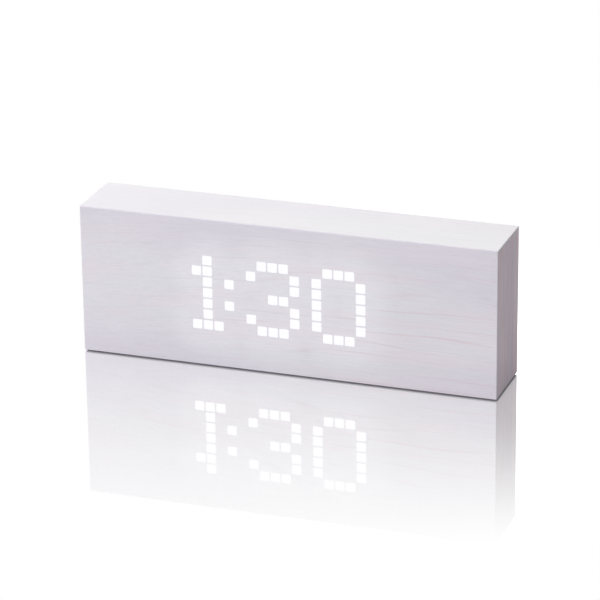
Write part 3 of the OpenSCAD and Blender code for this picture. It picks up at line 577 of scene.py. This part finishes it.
# How far a chip's legs reach past its body, in millimetres, at its foot and at its top
CHIP_LEG = 0.9
CHIP_ROWS = (CHIP_LEG, CHIP_LEG)
REGULATOR_ROWS = (1.2, 1.3)
CHIP_FINISHES = {
    "driver_chips": chip_epoxy("driver_chip_epoxy", "driver_chips", 0, CHIP_ROWS),
    "microcontroller": chip_epoxy("controller_epoxy", "microcontroller", CHIP_LEG, CHIP_ROWS),
    "clock_chip": chip_epoxy("clock_chip_epoxy", "clock_chip", 0, CHIP_ROWS),
    "voltage_regulator": chip_epoxy("regulator_epoxy", "voltage_regulator", 0, REGULATOR_ROWS),
}


def dress_cad_nodes():
    """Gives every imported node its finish: a chip's own one, or else that of its material slot."""
    for name, node in frame["nodes"].items():
        for slot in node.material_slots:
            by_slot = FINISHES.get(slot.material.name, FINISHES["top_wood"])
            slot.material = CHIP_FINISHES.get(name, by_slot)


def body_of(node):
    return frame["nodes"][node]["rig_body"]


def link(name, data):
    obj = bpy.data.objects.new(name, data)
    bpy.context.scene.collection.objects.link(obj)
    return obj


def to_object(name, mesh, finish, sharp_turn=SHARP_TURN):
    """Turns a bmesh into an object at the origin, with its finish and smooth curved faces."""
    data = bpy.data.meshes.new(name)
    mesh.to_mesh(data)
    mesh.free()
    data.materials.append(FINISHES[finish])
    data.shade_smooth()
    data.set_sharp_from_angle(angle=sharp_turn)
    return link(name, data)


def even_normals(obj):
    """Keeps large flat faces flat in the light, beside their rounded edges."""
    weighted = obj.modifiers.new("even_normals", "WEIGHTED_NORMAL")
    weighted.keep_sharp = True


def settle(obj):
    """The evaluated object as a plain one, with its modifiers used up."""
    graph = bpy.context.evaluated_depsgraph_get()
    data = bpy.data.meshes.new_from_object(obj.evaluated_get(graph))
    obj.modifiers.clear()
    obj.data = data
    return obj


def merged_copy(node):
    """A CAD node's mesh with its loose triangles joined into whole faces."""
    mesh = bmesh.new()
    mesh.from_mesh(frame["nodes"][node].data)
    bmesh.ops.remove_doubles(mesh, verts=mesh.verts, dist=MERGE_DISTANCE)
    bmesh.ops.dissolve_limit(mesh, angle_limit=FLAT_TURN, verts=mesh.verts, edges=mesh.edges)
    return mesh


def outer_faces_at(point):
    """Which outer faces of the block a point lies on."""
    return {
        (axis, side)
        for axis in range(3)
        for side, corner in enumerate((BLOCK_LOW, BLOCK_HIGH))
        if abs(point[axis] - corner[axis]) < MERGE_DISTANCE
    }


def is_block_edge(edge):
    first, second = (outer_faces_at(v.co) for v in edge.verts)
    return len(first & second) == 2


def round_edges(mesh, edges, radius, segments):
    bmesh.ops.bevel(
        mesh, geom=edges, offset=radius, segments=segments, profile=0.5, affect="EDGES"
    )


def sharp_edges(mesh, plane_y=None):
    """The edges where a mesh turns a corner: all of them, or those in one plane across Y."""
    return [
        e
        for e in mesh.edges
        if e.calc_face_angle(0) > SHARP_TURN
        and (plane_y is None or all(abs(v.co.y - plane_y) < MERGE_DISTANCE for v in e.verts))
    ]


def make_skin(node):
    """One of the block's wood skins, rounded along the block's own edges and eased at its seams."""
    mesh = merged_copy(node)
    seams = sharp_edges(mesh, BLOCK_HIGH.y if node == "back_veneer" else None)
    round_edges(mesh, [e for e in seams if not is_block_edge(e)], SEAM_RADIUS, segments=1)
    round_edges(mesh, [e for e in mesh.edges if is_block_edge(e)], EDGE_RADIUS, segments=4)
    return mesh


def add_skins():
    for node, finish in (
        ("front_veneer", "front_wood"),
        ("back_veneer", "back_wood"),
        ("top_veneer", "top_wood"),
        ("bottom_veneer", "top_wood"),
        ("left_end_veneer", "left_end_wood"),
        ("right_end_veneer", "end_wood"),
    ):
        name = node.replace("veneer", "skin")
        mesh = make_skin(node)
        if node == "front_veneer":
            cut_grid(mesh)
        skin = to_object(name, mesh, finish)
        if node == "front_veneer":
            store_glow(skin)
        even_normals(skin)
        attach(skin, "clock_body")
        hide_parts(node)


def cut_grid(mesh):
    """Cuts the front skin into small squares, which carry the glow round the lit pixels."""
    inset = 1.5 * EDGE_RADIUS
    for axis, way in ((0, Vector((1, 0, 0))), (2, Vector((0, 0, 1)))):
        low = BLOCK_LOW[axis] + inset
        high = BLOCK_HIGH[axis] - inset
        count = round((high - low) / GLOW_STEP)
        for i in range(count + 1):
            bmesh.ops.bisect_plane(
                mesh,
                geom=[*mesh.verts, *mesh.edges, *mesh.faces],
                dist=MERGE_DISTANCE / 10,
                plane_co=way * (low + (high - low) * i / count),
                plane_no=way,
            )


def lit_places():
    """The middle of each lit pixel, on the front of the block."""
    top = LENS_HIGH.z - PIXEL_SIDE / 2
    left = LENS_LOW.x + PIXEL_SIDE / 2
    return [
        Vector((left + (FIRST_COLUMN + column) * PIXEL_PITCH, BLOCK_LOW.y, top - row * PIXEL_PITCH))
        for row, marks in enumerate(TIME_SHOWN)
        for column, mark in enumerate(marks)
        if mark == "#"
    ]


def store_glow(skin):
    """Stores how much of the lit pixels' light reaches each point of the skin, with a smooth fall."""
    places = lit_places()
    glow = skin.data.attributes.new("glow", "FLOAT", "POINT")
    for vertex, value in zip(skin.data.vertices, glow.data):
        away = min((vertex.co - place).length for place in places)
        share = min(1.0, max(0.0, (GLOW_REACH - away) / (GLOW_REACH - GLOW_EVEN)))
        value.value = share * share * (3 - 2 * share)


def new_tree(name, inputs):
    """A Geometry Nodes tree with named inputs, and the sockets that give them."""
    tree = bpy.data.node_groups.new(name, "GeometryNodeTree")
    tree.interface.new_socket("Geometry", in_out="OUTPUT", socket_type="NodeSocketGeometry")
    tree.interface.new_socket("Places", in_out="INPUT", socket_type="NodeSocketGeometry")
    for label, kind in inputs.items():
        tree.interface.new_socket(label, in_out="INPUT", socket_type="NodeSocket" + kind)
    return tree, add_node(tree, "NodeGroupInput", {}, {}).outputs


def close_tree(tree, given, piece, turn):
    """Ends a tree: a turned copy of a piece on each place, made real and given its finish."""
    laid = add_node(
        tree,
        "GeometryNodeInstanceOnPoints",
        {},
        {"Points": given["Places"], "Instance": piece, "Rotation": turn},
    )
    real = add_node(tree, "GeometryNodeRealizeInstances", {}, {0: laid.outputs[0]})
    dressed = add_node(
        tree, "GeometryNodeSetMaterial", {}, {0: real.outputs[0], "Material": given["Finish"]}
    )
    add_node(tree, "NodeGroupOutput", {}, {0: dressed.outputs[0]})


def pixel_tile_tree():
    """Lays a thin tile with round corners on each place, facing the front."""
    tree, given = new_tree(
        "pixel_tiles", {"Side": "Float", "Corner": "Float", "Thickness": "Float", "Finish": "Material"}
    )
    square = add_node(
        tree, "GeometryNodeCurvePrimitiveQuadrilateral", {}, {0: given["Side"], 1: given["Side"]}
    )
    outline = add_node(
        tree,
        "GeometryNodeFilletCurve",
        {"mode": "POLY"},
        {"Curve": square.outputs[0], "Count": CORNER_STEPS, "Radius": given["Corner"]},
    )
    face = add_node(tree, "GeometryNodeFillCurve", {"mode": "NGONS"}, {0: outline.outputs[0]})
    raised = add_node(
        tree,
        "GeometryNodeExtrudeMesh",
        {},
        {"Mesh": face.outputs[0], "Offset Scale": given["Thickness"], "Individual": False},
    )
    back = add_node(tree, "GeometryNodeFlipFaces", {}, {0: face.outputs[0]})
    both = add_node(tree, "GeometryNodeJoinGeometry", {}, {})
    tree.links.new(raised.outputs[0], both.inputs[0])
    tree.links.new(back.outputs[0], both.inputs[0])
    tile = add_node(
        tree, "GeometryNodeMergeByDistance", {}, {0: both.outputs[0], "Distance": MERGE_DISTANCE}
    )
    close_tree(tree, given, tile.outputs[0], (math.radians(90), 0, 0))
    return tree


def stamp_tree():
    """Sets a copy of a piece on each place, at a random angle up to the largest turn."""
    tree, given = new_tree(
        "stamped_pieces",
        {"Piece": "Object", "Largest turn": "Vector", "Seed": "Int", "Finish": "Material"},
    )
    piece = add_node(tree, "GeometryNodeObjectInfo", {}, {"Object": given["Piece"]})
    turn = add_node(
        tree,
        "FunctionNodeRandomValue",
        {"data_type": "FLOAT_VECTOR"},
        {0: (0, 0, 0), 1: given["Largest turn"], "Seed": given["Seed"]},
    )
    close_tree(tree, given, piece.outputs["Geometry"], turn.outputs[0])
    return tree


def grow(name, places, tree, values):
    """Runs a tree on a set of places and returns the result as a plain object."""
    data = bpy.data.meshes.new(name)
    data.from_pydata(places, [], [])
    obj = link(name, data)
    modifier = obj.modifiers.new(name, "NODES")
    modifier.node_group = tree
    for item in tree.interface.items_tree:
        if item.in_out == "INPUT" and item.name in values:
            modifier[item.identifier] = values[item.name]
    return settle(obj)


def add_lit_pixels():
    places = [place + Vector((0, PIXEL_SUNK, 0)) for place in lit_places()]
    lit = grow(
        "lit_pixels",
        places,
        pixel_tile_tree(),
        {
            "Side": PIXEL_SIDE,
            "Corner": PIXEL_CORNER,
            "Thickness": PIXEL_PROUD + PIXEL_SUNK,
            "Finish": FINISHES["lit"],
        },
    )
    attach(lit, "clock_body")


def eased(points, steps=4):
    """A line through points of (across, height, radius), with each corner rounded by its radius."""
    line = []
    for i, (x, y, radius) in enumerate(points):
        corner = Vector((x, y))
        if radius == 0 or i in (0, len(points) - 1):
            line.append(corner)
            continue
        before = (Vector(points[i - 1][:2]) - corner).normalized()
        after = (Vector(points[i + 1][:2]) - corner).normalized()
        reach = radius / math.tan(before.angle(after) / 2)
        start = corner + before * reach
        end = corner + after * reach
        for k in range(steps + 1):
            t = k / steps
            line.append(start * (1 - t) ** 2 + corner * 2 * t * (1 - t) + end * t**2)
    return line


def turned(mesh, profile, centre, axis="Y", count=48, closed=False):
    """Turns a profile of (radius, height) about an axis through centre, as on a lathe."""
    rings = []
    for radius, height in profile:
        if radius < MERGE_DISTANCE:
            angles = [0]
        else:
            angles = [2 * math.pi * k / count for k in range(count)]
        ring = []
        for angle in angles:
            a = radius * math.cos(angle)
            b = radius * math.sin(angle)
            offset = (a, height, b) if axis == "Y" else (a, b, height)
            ring.append(mesh.verts.new(centre + Vector(offset)))
        rings.append(ring)
    pairs = list(zip(rings, rings[1:]))
    if closed:
        pairs.append((rings[-1], rings[0]))
    made = []
    for low, high in pairs:
        for k in range(count):
            steps = ((low, k), (low, k + 1), (high, k + 1), (high, k))
            corners = list(dict.fromkeys(ring[step % len(ring)] for ring, step in steps))
            if len(corners) > 2:
                made.append(mesh.faces.new(corners))
    bmesh.ops.recalc_face_normals(mesh, faces=made)


def prism(mesh, outline, low, high, axis="Z"):
    """Extrudes an outline, drawn in X and Y or in X and Z, along the third axis."""
    ends = []
    for height in (low, high):
        places = [(x, y, height) if axis == "Z" else (x, height, y) for x, y in outline]
        ends.append([mesh.verts.new(place) for place in places])
    made = [mesh.faces.new(ends[0]), mesh.faces.new(reversed(ends[1]))]
    count = len(outline)
    for k in range(count):
        n = (k + 1) % count
        made.append(mesh.faces.new([ends[0][k], ends[1][k], ends[1][n], ends[0][n]]))
    bmesh.ops.recalc_face_normals(mesh, faces=made)


def rectangle(x, y, width, height):
    """The corners of a rectangle round a middle."""
    return [
        (x + side * width / 2, y + end * height / 2)
        for side, end in ((-1, -1), (1, -1), (1, 1), (-1, 1))
    ]


def disc(radius, count=24):
    """The corners of a circle round the origin."""
    angles = [2 * math.pi * k / count for k in range(count)]
    return [(radius * math.cos(angle), radius * math.sin(angle)) for angle in angles]


def middle(node):
    low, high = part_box(node)
    return (low + high) / 2


def seat_of(node):
    """The middle of a node's side that faces the front of the block."""
    seat = middle(node)
    seat.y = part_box(node)[0].y
    return seat


PAD_RADIUS = 5 * MM
PAD_EASE = 0.2 * MM


def add_feet():
    """Four soft pads, with their lower rims eased."""
    low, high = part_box("feet")
    thickness = high.z - low.z
    profile = eased(
        [(0, 0, 0), (PAD_RADIUS, 0, PAD_EASE), (PAD_RADIUS, thickness, 0), (0, thickness, 0)]
    )
    mesh = bmesh.new()
    for x in (low.x + PAD_RADIUS, high.x - PAD_RADIUS):
        for y in (low.y + PAD_RADIUS, high.y - PAD_RADIUS):
            turned(mesh, profile, Vector((x, y, low.z)), "Z")
    pads = to_object("foot_pads", mesh, "foot_pad")
    even_normals(pads)
    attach(pads, "clock_body")
    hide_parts("feet")


# The closed door lies flush with the tray's floor
TRAY_FLOOR_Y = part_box("cell_door")[1].y
TRAY_EASE = 0.12 * MM


def add_tray():
    """The control tray with all its bosses: its rim, its floor and every opening have eased edges."""
    mesh = merged_copy("control_tray")
    round_edges(mesh, sharp_edges(mesh, BLOCK_HIGH.y), TRAY_EASE, segments=3)
    round_edges(mesh, sharp_edges(mesh, TRAY_FLOOR_Y), TRAY_EASE, segments=2)
    tray = to_object("tray_shell", mesh, "tray_plastic")
    even_normals(tray)
    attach(tray, "clock_body")
    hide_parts("control_tray")


DOOR_EASE = 0.12 * MM
# Edges shorter than this belong to the door's round finger scoop
SCOOP_FACET = 1.0 * MM
GRIP_GROOVES = 3
GRIP_PITCH = 1.3 * MM
GRIP_WIDTH = 0.55 * MM
GRIP_DEPTH = 0.3 * MM
GRIP_LENGTH = 10 * MM
GRIP_INSET = 4.2 * MM


def carve(obj, cutter):
    """Cuts a bmesh's shapes out of an object, with sharp rims."""
    tool = to_object(obj.name + "_cutter", cutter, "screw_steel")
    cut = obj.modifiers.new("cut", "BOOLEAN")
    cut.object = tool
    cut.solver = "EXACT"
    cut.use_self = True
    settle(obj)
    obj.data.set_sharp_from_angle(angle=SHARP_TURN)
    bpy.data.objects.remove(tool)


def add_cell_door():
    """The cell door: eased straight edges, and three grooves for a fingertip beside its scoop."""
    mesh = merged_copy("cell_door")
    straight = [e for e in sharp_edges(mesh, TRAY_FLOOR_Y) if e.calc_length() > SCOOP_FACET]
    round_edges(mesh, straight, DOOR_EASE, segments=2)
    door = to_object("cell_door_leaf", mesh, "tray_plastic")
    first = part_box("cell_door")[1].x - GRIP_INSET
    grooves = bmesh.new()
    for k in range(GRIP_GROOVES):
        groove = rectangle(first - k * GRIP_PITCH, middle("cell_door").z, GRIP_WIDTH, GRIP_LENGTH)
        prism(grooves, groove, TRAY_FLOOR_Y - GRIP_DEPTH, TRAY_FLOOR_Y + MM, "Y")
    carve(door, grooves)
    even_normals(door)
    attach(door, body_of("cell_door"))
    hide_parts("cell_door")


BUTTONS = ("mode_button", "set_button", "up_button", "down_button", "alarm_button")
CAP_LIP = 0.9 * MM
CAP_FLANGE = 1.0 * MM
CAP_EASE = 0.15 * MM
CAP_SHOULDER = 0.55 * MM
CAP_RIM = 0.7 * MM
CAP_DISH = 0.35 * MM
DISH_STEPS = 8


def add_buttons():
    """Push buttons: a dished cap with a soft rim, above the flange that keeps it in the tray."""
    for name in BUTTONS:
        low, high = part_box(name)
        wide = (high.x - low.x) / 2
        radius = wide - CAP_LIP
        top = high.y - low.y
        rim = radius - CAP_RIM
        profile = eased(
            [
                (0, 0, 0),
                (wide, 0, CAP_EASE),
                (wide, CAP_FLANGE, CAP_EASE),
                (radius, CAP_FLANGE, 0),
                (radius, top, CAP_SHOULDER),
                (rim, top, 0),
            ]
        )
        for k in range(1, DISH_STEPS + 1):
            share = 1 - k / DISH_STEPS
            profile.append(Vector((rim * share, top - CAP_DISH * (1 - share**2))))
        mesh = bmesh.new()
        turned(mesh, profile, seat_of(name), count=64)
        cap = to_object(name + "_cap", mesh, "button_plastic")
        even_normals(cap)
        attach(cap, body_of(name))
        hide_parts(name)


KNOB_WIDTH = 2.6 * MM
KNOB_THICKNESS = 1.8 * MM
KNOB_EASE = 0.1 * MM
SLIDER_TOP = 2.6 * MM
RIDGE_STEPS = 6
RIDGE_DEPTH = 0.28 * MM
RIDGE_TURN = math.radians(20)


def add_knobs():
    """Slide switch knobs: a slider that runs in the housing and a post with ridges across its end."""
    for node in SWITCH_KNOBS:
        low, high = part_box(node)
        x, _, z = middle(node)
        mesh = bmesh.new()
        slider = rectangle(x, low.y + SLIDER_TOP / 2, high.x - low.x, SLIDER_TOP)
        prism(mesh, slider, low.z, high.z)
        left = x - KNOB_WIDTH / 2
        post = [(left + KNOB_WIDTH, low.y + SLIDER_TOP / 2), (left, low.y + SLIDER_TOP / 2)]
        for k in range(RIDGE_STEPS + 1):
            in_valley = k % 2 == 0 and 0 < k < RIDGE_STEPS
            end = high.y - (RIDGE_DEPTH if in_valley else 0)
            post.append((left + KNOB_WIDTH * k / RIDGE_STEPS, end))
        prism(mesh, post, z - KNOB_THICKNESS / 2, z + KNOB_THICKNESS / 2)
        knob = to_object(node.replace("_knob", "_thumb"), mesh, "knob", RIDGE_TURN)
        bevel = knob.modifiers.new("eased_edges", "BEVEL")
        bevel.width = KNOB_EASE
        bevel.segments = 2
        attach(knob, body_of(node))
        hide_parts(node)


JACK_BARREL = 4.0 * MM
JACK_BORE = 2.9 * MM
JACK_FLANGE = 1.5 * MM
JACK_REAR = 1.5 * MM
JACK_REAR_EASE = 0.3 * MM
JACK_FLANGE_EASE = 0.5 * MM
JACK_LEAD_IN = 0.45 * MM
PIN_HOLE = 0.75 * MM


def add_power_socket():
    """The socket's body: a flanged barrel with a lead-in at its mouth."""
    low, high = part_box("dc_jack_body")
    wide = (high.x - low.x) / 2
    depth = high.y - low.y
    seat = depth - JACK_FLANGE
    profile = eased(
        [
            (PIN_HOLE, JACK_REAR, 0),
            (PIN_HOLE, 0, 0),
            (JACK_BARREL, 0, JACK_REAR_EASE),
            (JACK_BARREL, seat, 0),
            (wide, seat, 0),
            (wide, depth, JACK_FLANGE_EASE),
            (JACK_BORE, depth, JACK_LEAD_IN),
            (JACK_BORE, JACK_REAR, 0),
        ]
    )
    mesh = bmesh.new()
    turned(mesh, profile, seat_of("dc_jack_body"), count=64, closed=True)
    socket = to_object("power_socket", mesh, "black_plastic")
    even_normals(socket)
    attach(socket, "clock_body")
    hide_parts("dc_jack_body")


SCREW_HEAD = 2.2 * MM
SCREW_HEAD_HEIGHT = 1.2 * MM
SCREW_CROWN = 0.75 * MM
SCREW_EASE = 0.08 * MM
SCREW_SHANK = 1.1 * MM
SCREW_POINT = 0.33 * MM
SCREW_TIP = 1.0 * MM
CROSS_LENGTH = 2.5 * MM
CROSS_WIDTH = 0.55 * MM
CROSS_DEPTH = 0.75 * MM
SCREW_SEED = 7


def pan_screw(length):
    """One pan-head screw about the origin: its head stands towards +Y on the plane of its seat."""
    profile = eased(
        [
            (0, -length, 0),
            (SCREW_POINT, -length, 0),
            (SCREW_SHANK, SCREW_TIP - length, 0),
            (SCREW_SHANK, 0, 0),
            (SCREW_HEAD, 0, SCREW_EASE),
            (SCREW_HEAD, SCREW_HEAD_HEIGHT, SCREW_CROWN),
            (0, SCREW_HEAD_HEIGHT, 0),
        ],
        steps=6,
    )
    mesh = bmesh.new()
    turned(mesh, profile, Vector(), count=40)
    screw = to_object("pan_screw", mesh, "screw_steel")
    cross = bmesh.new()
    for width, height in ((CROSS_LENGTH, CROSS_WIDTH), (CROSS_WIDTH, CROSS_LENGTH)):
        bar = rectangle(0, 0, width, height)
        prism(cross, bar, SCREW_HEAD_HEIGHT - CROSS_DEPTH, SCREW_HEAD_HEIGHT + MM, "Y")
    carve(screw, cross)
    return screw


def add_tray_screws():
    """Six screws in the tray's rim, each with its cross at its own angle."""
    low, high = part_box("tray_screws")
    seat = high.y - SCREW_HEAD_HEIGHT
    xs = (low.x + SCREW_HEAD, (low.x + high.x) / 2, high.x - SCREW_HEAD)
    places = [(x, seat, z) for x in xs for z in (low.z + SCREW_HEAD, high.z - SCREW_HEAD)]
    screw = pan_screw(seat - low.y)
    rim_screws = grow(
        "rim_screws",
        places,
        stamp_tree(),
        {
            "Piece": screw,
            "Largest turn": (0.0, math.pi / 2, 0.0),
            "Seed": SCREW_SEED,
            "Finish": FINISHES["screw_steel"],
        },
    )
    bpy.data.objects.remove(screw)
    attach(rim_screws, "clock_body")
    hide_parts("tray_screws")


CELL_BASE_INSET = 1.2 * MM
CELL_BASE_EASE = 0.3 * MM
CELL_STEP = 0.5 * MM
CELL_STEP_EASE = 0.25 * MM
CELL_SHOULDER = 0.45 * MM
CELL_DIP = 0.06 * MM
CELL_DIP_SLOPE = 0.3 * MM


def add_coin_cell():
    """The memory cell: a stamped can with a soft shoulder, over its narrower base cap."""
    low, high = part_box("coin_cell")
    radius = (high.x - low.x) / 2
    base = radius - CELL_BASE_INSET
    thickness = high.y - low.y
    profile = eased(
        [
            (0, 0, 0),
            (base, 0, CELL_BASE_EASE),
            (base, CELL_STEP, 0),
            (radius, CELL_STEP, CELL_STEP_EASE),
            (radius, thickness, CELL_SHOULDER),
            (base, thickness, 0),
            (base - CELL_DIP_SLOPE, thickness - CELL_DIP, 0),
            (0, thickness - CELL_DIP, 0),
        ]
    )
    mesh = bmesh.new()
    turned(mesh, profile, seat_of("coin_cell"), count=96)
    cell = to_object("memory_cell", mesh, "cell_steel")
    plus = bmesh.new()
    at = middle("coin_cell")
    for width, height in ((PLUS_SIDE, PLUS_BAR), (PLUS_BAR, PLUS_SIDE)):
        bar = rectangle(at.x + PLUS_SHIFT, at.z, width, height)
        prism(plus, bar, high.y - PLUS_DEPTH, high.y + MM, "Y")
    carve(cell, plus)
    even_normals(cell)
    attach(cell, "clock_body")
    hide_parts("coin_cell")


MARK_THICKNESS = 0.03 * MM
SWITCH_MARK_RISE = 4.4 * MM
SWITCH_MARK_SIDE = 3.6 * MM
BUTTON_MARK_DROP = 7.2 * MM
LETTER_SIZE = 2.5 * MM

# The outlines of the signs under the buttons, in millimetres. The bell is the right half of its dome.
ARROW = ((-1.3, -0.95), (1.3, -0.95), (0, 1.15))
BELL = ((1.5, -0.75), (1.15, -0.45), (0.95, 0.1), (0.85, 0.55), (0.55, 0.95), (0.2, 1.1))
CLAPPER_DROP = 1.15
BAR_RISES = (-0.7, 0.7)


def behind(x, z):
    """Turns a flat drawing to face the back from a place on the tray's floor, with its foot down."""
    turn = Matrix(((-1, 0, 0), (0, 0, 1), (0, 1, 0))).to_4x4()
    return Matrix.Translation((x, TRAY_FLOOR_Y, z)) @ turn


def add_word(mesh, word, place):
    """Adds a word as thin raised print."""
    text = bpy.data.curves.new(word, "FONT")
    text.body = word
    text.size = LETTER_SIZE
    text.align_x = "CENTER"
    text.align_y = "CENTER"
    text.extrude = MARK_THICKNESS
    obj = link(word, text)
    graph = bpy.context.evaluated_depsgraph_get()
    data = bpy.data.meshes.new_from_object(obj.evaluated_get(graph))
    data.transform(place)
    mesh.from_mesh(data)
    bpy.data.objects.remove(obj)


def add_sign(mesh, outline, place):
    """Adds an outline in millimetres as thin raised print."""
    sign = bmesh.new()
    prism(sign, [(x * MM, y * MM) for x, y in outline], -MARK_THICKNESS, MARK_THICKNESS)
    sign.transform(place)
    data = bpy.data.meshes.new("sign")
    sign.to_mesh(data)
    sign.free()
    mesh.from_mesh(data)


def add_marks():
    """Print on the tray's floor: ON and OFF at the switches, and a plain sign under each button."""
    mesh = bmesh.new()
    for node in SWITCH_KNOBS:
        at = middle(node)
        x = at.x + SWITCH_TRAVEL / 2
        z = at.z + SWITCH_MARK_RISE
        add_word(mesh, "ON", behind(x + SWITCH_MARK_SIDE, z))
        add_word(mesh, "OFF", behind(x - SWITCH_MARK_SIDE, z))
    clapper = [(x, y - CLAPPER_DROP) for x, y in disc(0.38, 16)]
    signs = {
        "mode_button": [rectangle(0, rise, 2.6, 0.6) for rise in BAR_RISES],
        "set_button": [disc(0.95)],
        "up_button": [ARROW],
        "down_button": [[(x, -y) for x, y in reversed(ARROW)]],
        "alarm_button": [[*BELL, *((-x, y) for x, y in reversed(BELL))], clapper],
    }
    for node, outlines in signs.items():
        at = middle(node)
        for outline in outlines:
            add_sign(mesh, outline, behind(at.x, at.z - BUTTON_MARK_DROP))
    marks = to_object("tray_print", mesh, "print_ink")
    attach(marks, "clock_body")


def add_camera():
    data = bpy.data.cameras.new("camera")
    data.sensor_width = SENSOR_WIDTH
    data.lens = LENS_LENGTH
    data.clip_start = 0.01
    data.clip_end = 50
    sin_a, cos_a = math.sin(CAMERA_AZIMUTH), math.cos(CAMERA_AZIMUTH)
    sin_e, cos_e = math.sin(CAMERA_ELEVATION), math.cos(CAMERA_ELEVATION)
    back = Vector((sin_a * cos_e, -cos_a * cos_e, sin_e))
    level = Vector((cos_a, sin_a, 0))
    right = level * math.cos(CAMERA_ROLL) + back.cross(level) * math.sin(CAMERA_ROLL)
    turn = Matrix((right, back.cross(right), back)).transposed().to_4x4()
    camera = link("camera", data)
    camera.matrix_world = Matrix.Translation(AIM + back * CAMERA_DISTANCE) @ turn
    bpy.context.scene.camera = camera


# Each lamp's place, side, power and colour
LAMPS = {
    "lamp_above": ((-0.5, 0.0, 1.15), 0.8, 10.0, WHITE),
    "lamp_front_left": ((-0.28, -1.5, 0.65), 0.8, 14.9, (1.0, 0.99, 1.0)),
    "lamp_behind": ((0.2, 1.3, 0.7), 1.4, 9.3, WHITE),
}


def add_lamps():
    """Soft square lamps that look at the block."""
    for name, (place, side, power, colour) in LAMPS.items():
        data = bpy.data.lights.new(name, "AREA")
        data.shape = "SQUARE"
        data.size = side
        data.energy = power
        data.color = colour
        lamp = link(name, data)
        lamp.location = place
        lamp.rotation_euler = (AIM - lamp.location).to_track_quat("-Z", "Y").to_euler()
        lamp.visible_camera = False


def seen_rays(tree):
    """1 for the rays of the camera, of gloss and of what shows through, and 0 for all other light."""
    ray = add_node(tree, "ShaderNodeLightPath", {}, {}).outputs
    shown = ray["Is Camera Ray"]
    for kind in ("Is Glossy Ray", "Is Transmission Ray"):
        larger = add_node(tree, "ShaderNodeMath", {"operation": "MAXIMUM"}, {0: shown, 1: ray[kind]})
        shown = larger.outputs[0]
    return shown


def plain_shader(tree, kind, colour, **more):
    """A shader of one colour."""
    return add_node(tree, kind, {}, {"Color": (*colour, 1), **more}).outputs[0]


def mixed(tree, factor, first, second):
    """A shader between two others."""
    return add_node(tree, "ShaderNodeMixShader", {}, {0: factor, 1: first, 2: second}).outputs[0]


def add_world():
    """White where it is seen, and a soft grey light on everything else."""
    world = bpy.data.worlds.new("studio")
    bpy.context.scene.world = world
    world.cycles.sampling_method = "NONE"
    world.use_nodes = True
    tree = world.node_tree
    tree.nodes.clear()
    white = plain_shader(tree, "ShaderNodeBackground", WHITE, Strength=1.0)
    soft = plain_shader(tree, "ShaderNodeBackground", WHITE, Strength=SOFT_LIGHT)
    add_node(tree, "ShaderNodeOutputWorld", {}, {0: mixed(tree, seen_rays(tree), soft, white)})


def floor_finish():
    """White, with a matt ring at the block's foot that keeps its shadow.

    The camera also sees the block's mirror image, which fades away from it. Other light meets grey.
    """
    floor = Finish("white_floor")
    tree = floor.tree
    x, y, _ = floor.axes()
    beyond_x = floor.math("MAXIMUM", abs(x) - BLOCK_HIGH.x / MM, 0.0)
    beyond_y = floor.math("MAXIMUM", abs(y) - BLOCK_HIGH.y / MM, 0.0)
    away = floor.math("SQRT", beyond_x * beyond_x + beyond_y * beyond_y)
    reach = MIRROR_REACH / MM - x * MIRROR_LEAN
    camera_ray = floor.node("ShaderNodeLightPath", {}, {}, "Is Camera Ray")
    mirror = MIRROR_SHARE * (1 - away / reach).step(0.0, 1.0) * camera_ray
    near = 1 - (away / (SHADOW_REACH / MM)).step(0.0, 1.0)
    white = plain_shader(tree, "ShaderNodeEmission", WHITE, Strength=1.0)
    matt = plain_shader(tree, "ShaderNodeBsdfDiffuse", RING_COLOUR)
    dim = plain_shader(tree, "ShaderNodeBsdfDiffuse", DIM_GREY)
    glass = plain_shader(tree, "ShaderNodeBsdfGlossy", WHITE, Roughness=0.0)
    ground = mixed(tree, near, white, matt)
    shown = mixed(tree, seen_rays(tree), dim, mixed(tree, mirror, ground, glass))
    tree.nodes.remove(floor.shader)
    tree.links.new(shown, tree.nodes["Material Output"].inputs[0])
    floor.material.cycles.emission_sampling = "NONE"
    return floor.material


def add_floor():
    data = bpy.data.meshes.new("floor")
    half = FLOOR_SIDE / 2
    corners = ((-half, -half), (half, -half), (half, half), (-half, half))
    data.from_pydata([(x, y, -FLOOR_DROP) for x, y in corners], [], [range(4)])
    data.materials.append(floor_finish())
    floor = link("floor", data)


dress_cad_nodes()
add_skins()
add_lit_pixels()
add_feet()
add_tray()
add_cell_door()
add_buttons()
add_knobs()
add_power_socket()
add_tray_screws()
add_coin_cell()
add_marks()
add_floor()
add_world()
add_lamps()
add_camera()
bpy.context.scene.view_settings.view_transform = "Standard"
